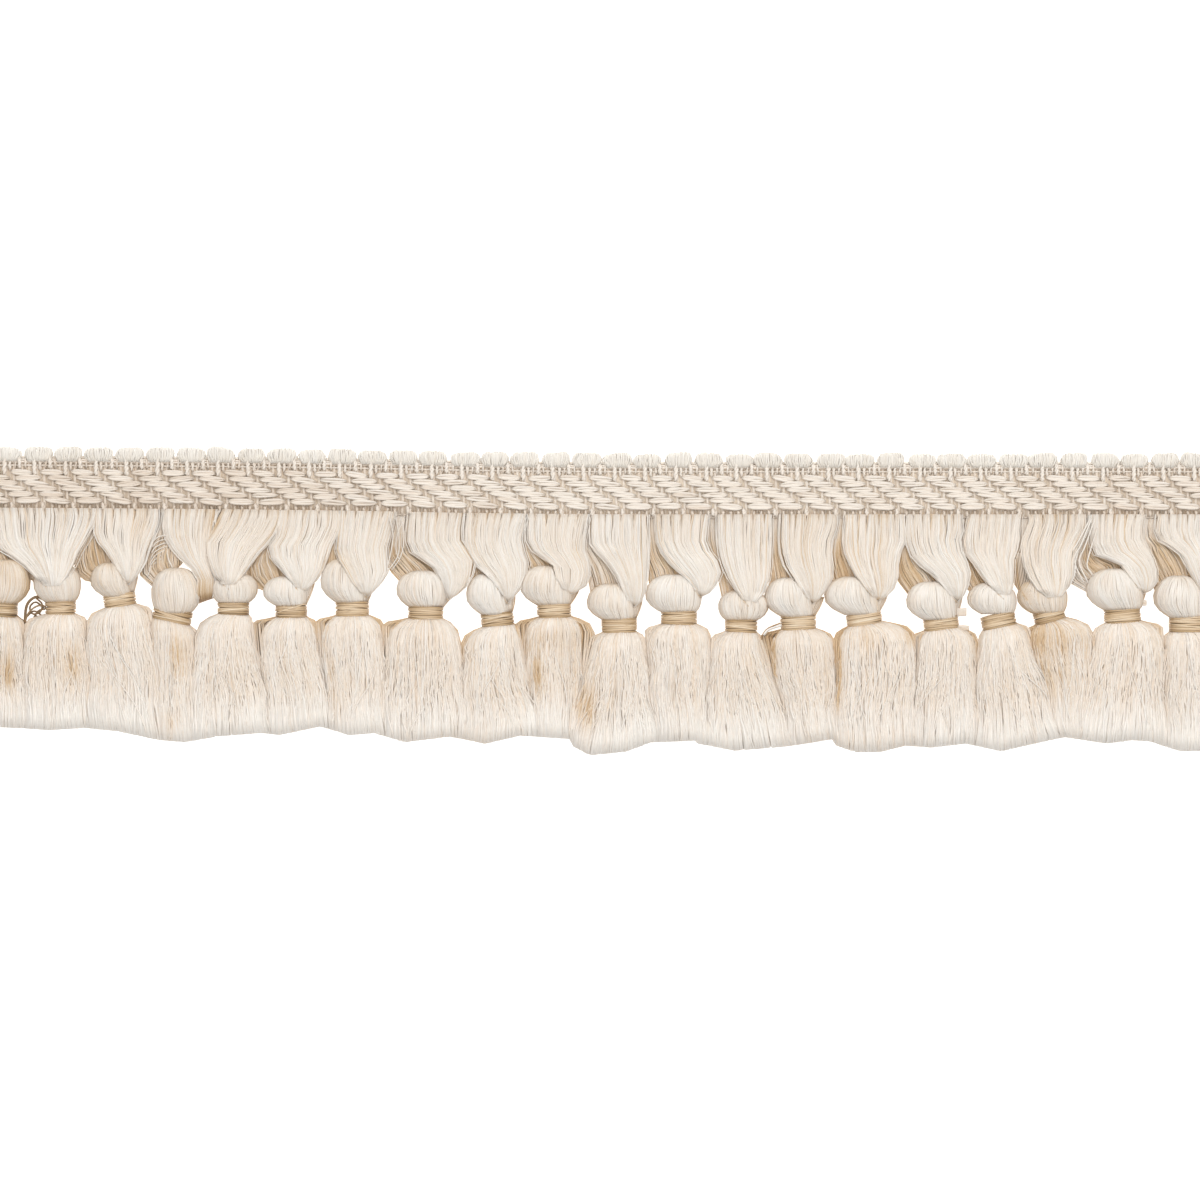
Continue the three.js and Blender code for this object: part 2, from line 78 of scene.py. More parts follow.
# One entry per tassel. tie: centre, width, height, tilt in degrees. ball and nub: left, right, top, bottom.
# left, right: the front lock's edges from the braid down to its tip. bl, br: the same for the back lock.
# meet: where the skirt meets its right neighbour, and foot: the lower end of that line. over: 1 in front, -1 behind.
# The skirt's spots (x, y, width, height, strength) are painted shade where it parts or passes under a neighbour; the
# darkening towards the front lock's tip is painted shade too.
TASSELS = [
    dict(n="01", tie=(-0.5, 609.5, 35, 15, -2), ball=(-20, 29.5, 560, 604), nub=None,
         left=[(-33, 511), (-33, 545), (-27, 575), (-16, 592)], right=[(-6, 511), (-6, 545), (-5, 575), (-8, 590)], tip=(-11, 597),
         bl=[(-30, 511), (-26, 540), (-20, 572)], br=[(-8, 511), (0, 545), (8, 562)],
         meet=(24, 627), foot=(24, 728), over=0, shade_spots=((8, 672, 7, 18),), tie_tone=-0.15, ball_shade=0.33),
    dict(n="02", tie=(60, 608, 31, 14, 1), ball=(34, 80, 563, 602), nub=None,
         left=[(-14, 511), (-8, 535), (3, 551), (18, 559), (30, 569), (42, 581)], right=[(95, 512), (95, 519), (86, 538), (77, 555), (71, 573), (62, 585)], tip=(56, 591),
         bl=[(0, 512), (10, 552), (24, 566), (29, 578), (33, 592)], br=[(40, 512), (44, 550), (48, 575)],
         meet=(87, 623), foot=(92, 730), over=0, shade_spots=((74, 664, 9, 20),), ball_shade=0.12, back=0.08),
    dict(n="03", tie=(119.3, 600.5, 32.5, 13, 9), ball=(91, 129, 563, 597), nub=(121, 137.5, 573, 598),
         left=[(94, 512), (95, 535), (107, 551), (117, 566), (124, 577)], right=[(158, 513), (157, 521), (148, 545), (144, 562), (137, 576)], tip=(128, 585),
         bl=[(99, 512), (92, 535), (74, 562), (78, 577), (89, 582)], br=[(125, 512), (118, 545), (112, 566)],
         meet=(152, 613), foot=(163, 740), over=1, ball_shade=0.2, shade_spots=((163, 722, 10, 9, 0.75),), tie_tone=0.08, back=0.05, dim=0.05),
    dict(n="04", tie=(172, 615, 40, 14, -14), ball=(152, 200, 568, 614), nub=None,
         left=[(163, 514), (163, 531), (170, 546), (180, 558), (192, 568), (199, 580), (198, 595)], right=[(215, 514), (210, 540), (209, 562), (215, 578), (215, 590)], tip=(203, 604), tips=((199, 603), (213, 598)),
         bl=[(155, 513), (151, 532), (142, 556), (139, 573), (152, 587)], br=[(182, 514), (186, 545), (181, 564)],
         meet=(195, 637), foot=(190, 742), over=-1, low=0.8, shade_spots=((180, 657, 11, 22, 0.9), (170, 722, 12, 9, 0.75)), shade=0.02, painted_shade=0.45,
         strays=tuple(([(147 + q, 577 - 6 * q), (151 + q, 567 - 5 * q), (160 + q, 559 - 4 * q), (174, 554 - 3 * q)], 3.3, 2.3, 0.14, 0.92 + 0.04 * (q % 3)) for q in range(7)), tie_tone=-0.13, ball_shade=0.12, back=0.08, dim=0.05, shadows=((213, 524, 5, 15, 0.45),)),
    dict(n="05", tie=(233, 608, 32, 14, 0), ball=(212, 257, 573, 603), nub=None,
         left=[(221, 514), (212, 530), (205, 543), (209, 561), (217, 577)], right=[(281, 514), (280, 520), (270, 539), (256, 555), (247, 570), (240, 580)], tip=(231, 589),
         bl=[(199, 514), (203, 540), (208, 570)], br=[(230, 514), (228, 545), (228, 575)],
         meet=(253, 625), foot=(268, 734), over=1, tie_tone=-0.14, ball_shade=0.12, dim=0.05, shadows=((215, 522, 5, 13, 0.4),)),
    dict(n="06", tie=(291, 611, 32, 14, 1), ball=(263.6, 306, 577, 606), nub=(300, 314, 587, 606),
         left=[(281, 515), (277, 535), (271, 545), (272, 555), (282, 568), (290, 579)], right=[(339, 515), (338, 528), (331, 543), (327, 557), (321, 574), (313, 584)], tip=(302, 593),
         bl=[(284, 515), (275, 538), (250, 561), (246, 571), (252, 585), (263, 592)], br=[(310, 515), (300, 545), (287, 576)],
         meet=(317, 617), foot=(330, 729), over=0, arc=(1.7, 0.4), tie_tone=-0.08, back=0.04),
    dict(n="07", tie=(352, 609, 34, 15, 1), ball=(321, 366, 559, 603), nub=(361, 373.5, 587, 603),
         left=[(339, 515), (338, 529), (337, 550), (342, 562), (351, 576), (358, 588)], right=[(395, 516), (389, 534), (385, 550), (387, 570), (380, 584)], tip=(368, 597),
         bl=[(342, 515), (337, 532), (328, 556), (322, 576)], br=[(365, 515), (356, 545), (350, 560)],
         meet=(384, 627), foot=(386, 736), over=0, arc=(1.2, 0.5), shade_spots=((338, 706, 7, 20, 0.7), (333, 668, 3, 12))),
    dict(n="08", tie=(425.5, 612.8, 36, 13.5, 0), ball=(397, 447, 571, 607), nub=(443, 453, 596, 606),
         left=[(409, 516), (408, 536), (409, 547), (416, 555), (428, 562), (437, 570), (443, 582)], right=[(462, 516), (459, 539), (471, 557), (472, 568), (466, 585), (456, 595)], tip=(449, 600),
         bl=[(396, 516), (398, 538), (389, 560), (392, 572), (406, 584)], br=[(430, 516), (432, 550), (439, 573)],
         meet=(462, 648), foot=(466, 738), over=1, arc=(0.9, 0.3),
         strays=(([(389, 517), (393, 534), (391, 552), (387, 568)], 3.0, 4.3, 0.15, 0.9), ([(396, 517), (399, 538), (398, 556), (388, 571)], 3.1, 4.4, 0.15, 0.86),
                 ([(401, 517), (404, 536), (401, 556), (392, 570)], 3.2, 4.3, 0.14, 0.9), ([(405, 518), (398, 532), (396, 548), (400, 562)], 3.2, 4.2, 0.13, 0.82))),
    dict(n="09", tie=(497.2, 619.5, 33.5, 14, 8), ball=(466.6, 507, 574, 615), nub=(501, 514, 597, 614),
         left=[(466, 517), (465, 540), (473, 561), (484, 571), (495, 583), (503, 594)], right=[(527, 517), (520, 536), (522, 550), (527, 567), (521, 586), (514, 596)], tip=(508, 603),
         bl=[(470, 517), (470, 545), (470, 565), (468, 580)], br=[(500, 517), (494, 550), (488, 576)],
         meet=(520, 624), foot=(536, 737), over=1, arc=(0.8, 0.2), tie_tone=-0.12),
    dict(n="10", tie=(554, 611, 34.5, 14, 2), ball=(521, 572, 566, 605), nub=(565, 579.5, 591, 605),
         left=[(528, 517), (528, 536), (531, 546), (539, 555), (554, 565), (558, 580)], right=[(589, 518), (584, 537), (583, 550), (589, 568), (586, 584), (577, 591)], tip=(568, 595),
         bl=[(530, 517), (525, 540), (523, 556), (524, 574)], br=[(560, 517), (556, 545), (552, 566)],
         meet=(590, 635), foot=(572, 743), over=-1, arc=(1.7, 2.4), shade_spots=((537, 673, 6, 17), (531, 645, 8, 18, 0.6), (582, 706, 10, 26, 0.7), (552, 640, 16, 12, 0.4)), shade=0.04, tie_tone=0.12),
    dict(n="11", tie=(619.3, 625.5, 36, 15, 2), ball=(587.5, 634, 584, 620), nub=(629, 642, 603, 620),
         left=[(591, 518), (592, 544), (602, 556), (613, 569), (620, 583), (626, 597)], right=[(647, 518), (646, 555), (645, 587), (641, 601)], tip=(634, 607),
         bl=[(590, 518), (589, 545), (587, 565), (592, 588)], br=[(625, 518), (622, 555), (621, 585)],
         meet=(645, 630), foot=(655, 742), over=1, arc=(0.2, 0.4), shade_spots=((586, 708, 12, 26),), ball_shade=0.08, back=0.18),
    dict(n="12", tie=(679, 617.5, 36.5, 15, 0), ball=(646, 701, 575, 612), nub=(694, 704, 590, 606),
         left=[(655, 518), (656, 529), (659, 546), (667, 559), (677, 570), (688, 579), (694, 588)], right=[(709, 518), (705, 543), (714, 557), (720, 571), (716, 584), (707, 594)], tip=(701, 597),
         bl=[(658, 518), (651, 540), (646, 560), (648, 584)], br=[(690, 518), (688, 550), (687, 577)],
         meet=(711, 637), foot=(708, 745), over=0),
    dict(n="13", tie=(741.3, 625.8, 33, 13.5, -1), ball=(719, 768, 590, 620), nub=None,
         left=[(718, 518), (719, 543), (722, 561), (729, 579), (740, 596)], right=[(772, 518), (770, 550), (768, 580), (760, 597)], tip=(748, 606),
         bl=[(712, 518), (719, 545), (717, 573), (723, 593)], br=[(740, 518), (740, 560), (742, 594)],
         meet=(762, 632), foot=(790, 747), over=1, ball_shade=0.1),
    dict(n="14", tie=(798.5, 623, 36, 14, 2), ball=(765, 812, 578, 617), nub=(807, 824, 601, 615),
         left=[(782, 518), (782, 540), (785, 561), (793, 576), (802, 591)], right=[(838, 518), (837, 527), (830, 546), (831, 578), (820, 597)], tip=(812, 604),
         bl=[(784, 518), (776, 540), (768, 560), (767, 588)], br=[(812, 518), (805, 550), (796, 580)],
         meet=(835, 643), foot=(836, 742), over=0, arc=(1.8, 0.4), tie_tone=0.14, shade_spots=((771, 662, 7, 34, 0.9),),
         strays=(([(763, 635), (767, 630), (774, 627), (781, 625)], 5.6, 5.6, 0.34, 1.1), ([(760, 646), (762, 635), (768, 628), (780, 623)], 4.4, 4.4, 0.2, 0.12)), dim=0.04),
    dict(n="15", tie=(864.5, 618.5, 36, 13, 9), ball=(825, 878, 577, 615), nub=(874, 888, 598, 610),
         left=[(845, 518), (844, 545), (849, 562), (857, 578), (868, 592)], right=[(906, 518), (905, 543), (898, 557), (896, 582), (887, 595)], tip=(877, 601),
         bl=[(842, 518), (834, 545), (827, 565), (828, 588)], br=[(870, 518), (862, 555), (856, 580)],
         meet=(914, 635), foot=(912, 747), over=1, arc=(0.7, 0.3), shade_spots=((838, 676, 5, 34), (864, 640, 18, 13, 0.5), (909, 636, 7, 10)), tie_tone=0.16, dim=0.04),
    dict(n="16", tie=(941.5, 623.3, 35.5, 13, 7), ball=(907, 956, 582, 620), nub=(950, 963, 597, 615),
         left=[(907, 518), (907, 534), (912, 554), (922, 566), (936, 577), (945, 589)], right=[(962, 518), (962, 529), (958, 543), (962, 557), (968, 570), (967, 585), (963, 595)], tip=(957, 602),
         bl=[(900, 518), (899, 542), (896, 562), (898, 579), (913, 598)], br=[(935, 518), (932, 555), (935, 583)],
         meet=(978, 645), foot=(978, 745), over=0, arc=(0.9, 0.7), strays=tuple(([(955, 609 + 1.3 * q), (961, 608.6 + 1.3 * q), (966.5, 608.2 + 1.3 * q)], 4.0, 4.0, 0.24, 0.86 - 0.04 * q) for q in range(6))
         + tuple(([(956, 626 + 1.3 * q), (963, 625.4 + 1.3 * q), (969, 626 + 1.2 * q)], 4.2, 4.2, 0.24, 0.84 - 0.05 * q) for q in range(4)), back=-0.08),
    dict(n="17", tie=(999, 620.5, 35, 13.5, 12), ball=(968, 1016, 583, 614), nub=None,
         left=[(970, 518), (966, 540), (967, 553), (977, 566), (985, 580), (995, 592)], right=[(1022, 518), (1018, 544), (1012, 560), (1012, 583), (1008, 594)], tip=(1003, 599),
         bl=[(965, 518), (964, 545), (962, 565), (964, 582), (976, 596)], br=[(995, 518), (990, 555), (985, 582)],
         meet=(1030, 628), foot=(1060, 739), over=1),
    dict(n="18", tie=(1049.5, 614.5, 32, 15, 15), ball=(1018, 1067, 579, 613), nub=None,
         left=[(1030, 518), (1029, 525), (1023, 541), (1023, 562), (1032, 585), (1043, 596)], right=[(1088, 518), (1087, 530), (1074, 555), (1072, 575), (1065, 590)], tip=(1053, 601),
         bl=[(1018, 518), (1012, 545), (1014, 567), (1016, 584), (1028, 604)], br=[(1050, 518), (1042, 555), (1040, 590)],
         meet=(1092, 637), foot=(1080, 740), over=-1, shade=0.1, shade_spots=((1037, 637, 12, 18), (1058, 640, 26, 24, 0.7), (1048, 672, 22, 24, 0.45)), tie_tone=-0.1, ball_shade=0.12, strays=tuple(([(1014.5 + 1.5 * q, 553), (1016 + 1.6 * q, 573), (1019.5 + 1.5 * q, 591), (1031 + 0.8 * q, 608)], 3.5, 0, 0.2, 0.5 + 0.035 * q) for q in range(9))),
    dict(n="19", tie=(1123, 616, 37, 14, 4), ball=(1087, 1143, 569, 610), nub=(1137, 1147, 592, 606),
         left=[(1093, 518), (1093, 547), (1101, 557), (1119, 562), (1129, 576), (1138, 589)], right=[(1146, 518), (1142, 537), (1147, 550), (1154, 564), (1156, 580), (1150, 590)], tip=(1143, 594),
         bl=[(1090, 518), (1088, 538), (1066, 556), (1067, 578), (1088, 594)], br=[(1120, 518), (1112, 548), (1116, 569)],
         meet=(1163, 628), foot=(1165, 744), over=1, strays=(*(([(1137, 600 + 1.4 * q), (1142, 600.4 + 1.4 * q), (1146.5, 600.4 + 1.4 * q)], 4.2, 4.2, 0.22, 0.9 - 0.05 * q) for q in range(4)), ([(1092, 519), (1081, 545), (1074, 560), (1083, 582)], 3.3, 4.5, 0.22, 0.88), ([(1095, 520), (1085, 547), (1079, 562), (1088, 583)], 3.3, 4.5, 0.21, 0.84),
                 ([(1090, 520), (1076, 546), (1068, 558), (1074, 577)], 3.3, 4.4, 0.22, 0.86), ([(1098, 528), (1090, 552), (1087, 566), (1093, 576)], 3.3, 4.6, 0.19, 0.88)), bright_side=0.36, back=-0.03),
    dict(n="20", tie=(1187.5, 624.5, 36, 16, 0), ball=(1154, 1203, 576, 618), nub=(1198, 1209, 595, 612),
         left=[(1159, 518), (1160, 538), (1180, 552), (1190, 572), (1198, 588)], right=[(1216, 518), (1214, 560), (1210, 588)], tip=(1203, 597),
         bl=[(1155, 518), (1150, 542), (1142, 562), (1152, 588)], br=[(1182, 518), (1176, 545), (1178, 576)],
         meet=(1222, 640), foot=(1222, 750), over=0),
]
HEM_SHADES = ((850, 741, 68, 15, 0.52), (450, 738, 60, 13, 0.4))
FIRST_MEET, FIRST_FOOT = (-33, 627), (-33, 728)


# ---------------------------------------------------------------- small helpers
def smooth(a, b, x):
    t = np.clip((np.asarray(x, float) - a) / (b - a), 0, 1)
    return t * t * (3 - 2 * t)


def spline(p, n, power=1.0):
    """n points along a smooth curve through p, evenly spaced by length."""
    p = np.asarray(p, float)
    q = np.vstack([2 * p[0] - p[1], p, 2 * p[-1] - p[-2]])
    t = np.linspace(0, 1, 13)[:-1, None]
    out = []
    for i in range(1, len(q) - 2):
        a, b, c, d = q[i - 1], q[i], q[i + 1], q[i + 2]
        out.append(0.5 * (2 * b + (c - a) * t + (2 * a - 5 * b + 4 * c - d) * t ** 2 + (3 * b - a - 3 * c + d) * t ** 3))
    out = np.vstack(out + [p[-1:]])
    s = np.concatenate([[0], np.cumsum(np.linalg.norm(np.diff(out, axis=0), axis=1))])
    want = s[-1] * np.linspace(0, 1, n) ** power
    return np.stack([np.interp(want, s, out[:, k]) for k in range(out.shape[1])], axis=1)


class Mesh:
    """Collects closed tubes and skins, with a tone and a chance value on each vertex, and makes one object."""

    def __init__(self):
        self.v, self.tone, self.rnd, self.loops, self.sizes, self.mat, self.count = [], [], [], [], [], [], 0
        self.curl, self.curls, self.coat = 0.0, [], 0

    def _add(self, v, faces, tone, rnd, mat):
        self.v.append(v)
        self.tone.append(np.broadcast_to(tone, len(v)).astype(np.float32))
        self.rnd.append(np.broadcast_to(rnd, len(v)).astype(np.float32))
        self.curls.append(np.full(len(v), self.curl, np.float32))
        for f in faces:
            f = np.asarray(f)
            self.loops.append((f + self.count).ravel())
            self.sizes.append(np.full(len(f), f.shape[1]))
            self.mat.append(np.full(len(f), mat + self.coat))
        self.count += len(v)

    def tubes(self, P, R, sides=3, tone=1.0, rnd=None, ref=None, mat=0, phase=None):
        """P: strands x points x 3, R: radius, tone: per strand or per strand and point."""
        P = np.asarray(P, float)
        s, n, _ = P.shape
        R = np.broadcast_to(np.asarray(R, float), (s, n)) if np.ndim(R) == 2 else np.broadcast_to(np.reshape(R, (-1, 1)) if np.ndim(R) else R, (s, n))
        T = np.gradient(P, axis=1)
        T /= np.maximum(np.linalg.norm(T, axis=2, keepdims=True), 1e-9)
        if ref is None:
            ref = np.eye(3)[np.argmin(np.abs(T).max(axis=1), axis=1)][:, None, :]
        A = np.cross(T, ref)
        A /= np.maximum(np.linalg.norm(A, axis=2, keepdims=True), 1e-9)
        B = np.cross(T, A)
        k = np.arange(sides) * 2 * np.pi / sides
        ph = np.zeros(s) if phase is None else phase
        ang = k[None, :] + ph[:, None]
        V = P[:, :, None, :] + R[:, :, None, None] * (
            np.cos(ang)[:, None, :, None] * A[:, :, None, :] + np.sin(ang)[:, None, :, None] * B[:, :, None, :])
        base = (np.arange(s) * n * sides)[:, None, None]
        i = (np.arange(n - 1) * sides)[None, :, None]
        j, j2 = np.arange(sides)[None, None, :], (np.arange(sides)[None, None, :] + 1) % sides
        quads = np.stack([base + i + j, base + i + j2, base + i + sides + j2, base + i + sides + j], axis=-1).reshape(-1, 4)
        start = (np.arange(s) * n * sides)[:, None] + np.arange(sides)[::-1][None, :]
        stop = (np.arange(s) * n * sides + (n - 1) * sides)[:, None] + np.arange(sides)[None, :]
        tone = np.asarray(tone, float)
        tone = tone[:, None] if tone.ndim == 1 else tone
        tone = np.repeat(np.broadcast_to(tone, (s, n)).reshape(-1), sides)
        rnd = np.zeros(s) if rnd is None else rnd
        rnd = np.repeat(np.asarray(rnd, float), n * sides)
        self._add(V.reshape(-1, 3), [quads, start, stop], tone, rnd, mat)

    def skin(self, rings, tone=0.4, rnd=0.5, mat=0):
        """A closed skin through rings (rings x points x 3), with a face at each end."""
        rings = np.asarray(rings, float)
        m, n, _ = rings.shape
        V = rings.reshape(-1, 3)
        i = (np.arange(m - 1) * n)[:, None]
        j, j2 = np.arange(n)[None, :], (np.arange(n)[None, :] + 1) % n
        quads = np.stack([i + j, i + j2, i + n + j2, i + n + j], axis=-1).reshape(-1, 4)
        a, b, c, d = (V[quads[:, q]] for q in range(4))
        vol = np.sum(np.einsum("ij,ij->i", a, np.cross(b, c)) + np.einsum("ij,ij->i", a, np.cross(c, d)))
        first, last = np.arange(n)[::-1][None, :], (m - 1) * n + np.arange(n)[None, :]
        if vol < 0:
            quads, first, last = quads[:, ::-1], first[:, ::-1], last[:, ::-1]
        tone = np.asarray(tone, float)
        if tone.ndim == 1 and len(tone) == m:
            tone = np.repeat(tone, n)
        self._add(V, [quads, first, last], tone, rnd, mat)

    def build(self, name, materials, smooth_faces=True):
        v = (np.vstack(self.v) * 0.001).astype(np.float32)
        v[:, 2] = np.maximum(v[:, 2], 0.00004)
        loops, sizes, mat = np.concatenate(self.loops), np.concatenate(self.sizes), np.concatenate(self.mat)
        me = bpy.data.meshes.new(name)
        me.vertices.add(len(v))
        me.vertices.foreach_set("co", v.ravel())
        me.loops.add(len(loops))
        me.loops.foreach_set("vertex_index", loops.astype(np.int32))
        me.polygons.add(len(sizes))
        me.polygons.foreach_set("loop_start", np.concatenate([[0], np.cumsum(sizes)[:-1]]).astype(np.int32))
        me.polygons.foreach_set("material_index", mat.astype(np.int32))
        me.polygons.foreach_set("use_smooth", np.full(len(sizes), smooth_faces))
        for key, data in (("tone", self.tone), ("rnd", self.rnd), ("curl", self.curls)):
            me.attributes.new(key, "FLOAT", "POINT").data.foreach_set("value", np.concatenate(data))
        for m in materials:
            me.materials.append(m)
        me.update(calc_edges=True)
        o = bpy.data.objects.new(name, me)
        bpy.context.scene.collection.objects.link(o)
        tris = int(np.sum(sizes - 2))
        TRIS[name] = tris
        return o


TRIS = {}


# ---------------------------------------------------------------- materials
def yarn_material(name, stops, rough, sheen, grain, bump, spec=0.3, mottle=0.2, chance=0.14, coarse=(120, 45, 120), bend=0.0, span=1.0):
    """stops: tone from the deepest fold to the lit thread. grain: how fine the fibre is across x, y, z."""
    m = bpy.data.materials.new(name)
    m.use_nodes = True
    nt = m.node_tree
    N, L = nt.nodes, nt.links
    N.clear()
    out = N.new("ShaderNodeOutputMaterial")
    p = N.new("ShaderNodeBsdfPrincipled")
    L.new(p.outputs[0], out.inputs[0])
    p.inputs["Roughness"].default_value = rough
    p.inputs["Specular IOR Level"].default_value = spec
    p.inputs["Sheen Weight"].default_value = sheen
    p.inputs["Sheen Roughness"].default_value = 0.45
    p.inputs["Sheen Tint"].default_value = (1.0, 0.95, 0.88, 1)
    tone, rnd = N.new("ShaderNodeAttribute"), N.new("ShaderNodeAttribute")
    tone.attribute_name, rnd.attribute_name = "tone", "rnd"
    co = N.new("ShaderNodeTexCoord")
    fine, broad = N.new("ShaderNodeMapping"), N.new("ShaderNodeMapping")
    fine.inputs["Scale"].default_value = grain
    broad.inputs["Scale"].default_value = coarse
    L.new(co.outputs["Object"], fine.inputs["Vector"])
    L.new(co.outputs["Object"], broad.inputs["Vector"])
    n1, n2 = N.new("ShaderNodeTexNoise"), N.new("ShaderNodeTexNoise")
    n1.inputs["Scale"].default_value = 1.0
    n1.inputs["Detail"].default_value = 3.0
    n2.inputs["Scale"].default_value = 1.0
    n2.inputs["Detail"].default_value = 2.0
    L.new(fine.outputs[0], n1.inputs["Vector"])
    L.new(broad.outputs[0], n2.inputs["Vector"])

    def math_node(op, a, b):
        q = N.new("ShaderNodeMath")
        q.operation = op
        for k, val in enumerate((a, b)):
            if isinstance(val, (int, float)):
                q.inputs[k].default_value = val
            else:
                L.new(val, q.inputs[k])
        return q.outputs[0]

    n1.inputs["Distortion"].default_value = bend
    curl = N.new("ShaderNodeAttribute")
    curl.attribute_name = "curl"
    amount = math_node("ADD", math_node("MULTIPLY", curl.outputs["Fac"], mottle * 1.1), mottle)
    part = math_node("MULTIPLY", math_node("SUBTRACT", n1.outputs["Fac"], 0.5), amount)
    wide = math_node("MULTIPLY", math_node("SUBTRACT", n2.outputs["Fac"], 0.5), mottle * 1.3)
    luck = math_node("MULTIPLY", math_node("SUBTRACT", rnd.outputs["Fac"], 0.5), chance)
    total = math_node("ADD", math_node("ADD", tone.outputs["Fac"], part), math_node("ADD", luck, wide))
    ramp = N.new("ShaderNodeValToRGB")
    el = ramp.color_ramp.elements
    while len(el) < len(stops):
        el.new(0.5)
    for e, (pos, col) in zip(el, stops):
        e.position = pos
        e.color = (*col, 1)
    L.new(math_node("MULTIPLY", total, span), ramp.inputs["Fac"])
    L.new(ramp.outputs["Color"], p.inputs["Base Color"])
    b = N.new("ShaderNodeBump")
    b.inputs["Strength"].default_value = 0.5
    b.inputs["Distance"].default_value = bump
    L.new(n1.outputs["Fac"], b.inputs["Height"])
    L.new(b.outputs[0], p.inputs["Normal"])
    return m


LOCK = yarn_material("lock_yarn", [(0.0, (0.47, 0.29, 0.15)), (0.28, (0.72, 0.53, 0.325)), (0.56, (0.875, 0.772, 0.664)), (0.8, (0.93, 0.874, 0.806)), (1.0, (0.965, 0.93, 0.885))],
                     0.55, 0.22, (3900, 1250, 3900), 0.00005, mottle=0.36, chance=0.22, bend=2.2, span=0.8)
YARN = yarn_material("fringe_yarn", [(0.0, (0.47, 0.29, 0.15)), (0.28, (0.73, 0.53, 0.32)), (0.56, (0.90, 0.775, 0.645)), (0.8, (0.96, 0.882, 0.80)), (1.0, (0.99, 0.945, 0.885))],
                     0.55, 0.22, (3900, 1250, 3900), 0.00005, mottle=0.3, chance=0.2, bend=1.6, span=0.8)
BRAID = yarn_material("heading_yarn", [(0.0, (0.38, 0.28, 0.19)), (0.35, (0.61, 0.50, 0.39)), (0.7, (0.82, 0.72, 0.62)), (1.0, (0.91, 0.84, 0.76))],
                      0.62, 0.2, (1300, 5200, 5200), 0.00006)
PILE = yarn_material("loop_yarn", [(0.0, (0.58, 0.47, 0.36)), (0.5, (0.83, 0.76, 0.67)), (1.0, (0.925, 0.885, 0.825))],
                     0.75, 0.3, (5200, 1300, 5200), 0.00005)
THREAD = yarn_material("tie_thread", [(0.0, (0.24, 0.15, 0.07)), (0.4, (0.52, 0.36, 0.20)), (0.75, (0.76, 0.59, 0.40)), (1.0, (0.92, 0.80, 0.63))],
                       0.36, 0.1, (700, 5600, 2500), 0.00005, spec=0.5)
WEB = yarn_material("ground_yarn", [(0.0, (0.36, 0.27, 0.18)), (0.5, (0.62, 0.51, 0.40)), (1.0, (0.80, 0.70, 0.58))],
                    0.8, 0.1, (2600, 2600, 2600), 0.0001, mottle=0.6)
BROWN = yarn_material("loose_thread", [(0.0, (0.16, 0.10, 0.05)), (1.0, (0.38, 0.26, 0.15))], 0.5, 0.1, (3000, 3000, 3000), 0.00004)


# ---------------------------------------------------------------- tassels
SKIRT_DEPTH, FOOT_DEPTH, BALL_DEPTH, TIE_DEPTH = 7.2, 5.2, 7.3, 6.1


def on_tie(t, s, up):
    cx, cy = at(t["tie"][0], t["tie"][1])
    a = math.radians(t["tie"][4])
    return np.array([cx + s * math.cos(a) - up * math.sin(a), cy + s * math.sin(a) + up * math.cos(a)])


def lobe(box):
    (x0, y0), (x1, y1) = at(box[0], box[2]), at(box[1], box[3])
    return (x0 + x1) / 2, (y0 + y1) / 2, (x1 - x0) / 2, (y0 - y1) / 2


def height_of(lobes, x, y):
    """Height of the knot's surface above the floor at a place, and 0 where it isn't."""
    h = np.zeros_like(x)
    for cx, cy, rx, ry, depth in lobes:
        q = 1 - ((x - cx) / rx) ** 2 - ((y - cy) / ry) ** 2
        h = np.maximum(h, np.where(q > 0, depth / 2 + depth / 2 * np.sqrt(np.maximum(q, 0)), 0))
    return h


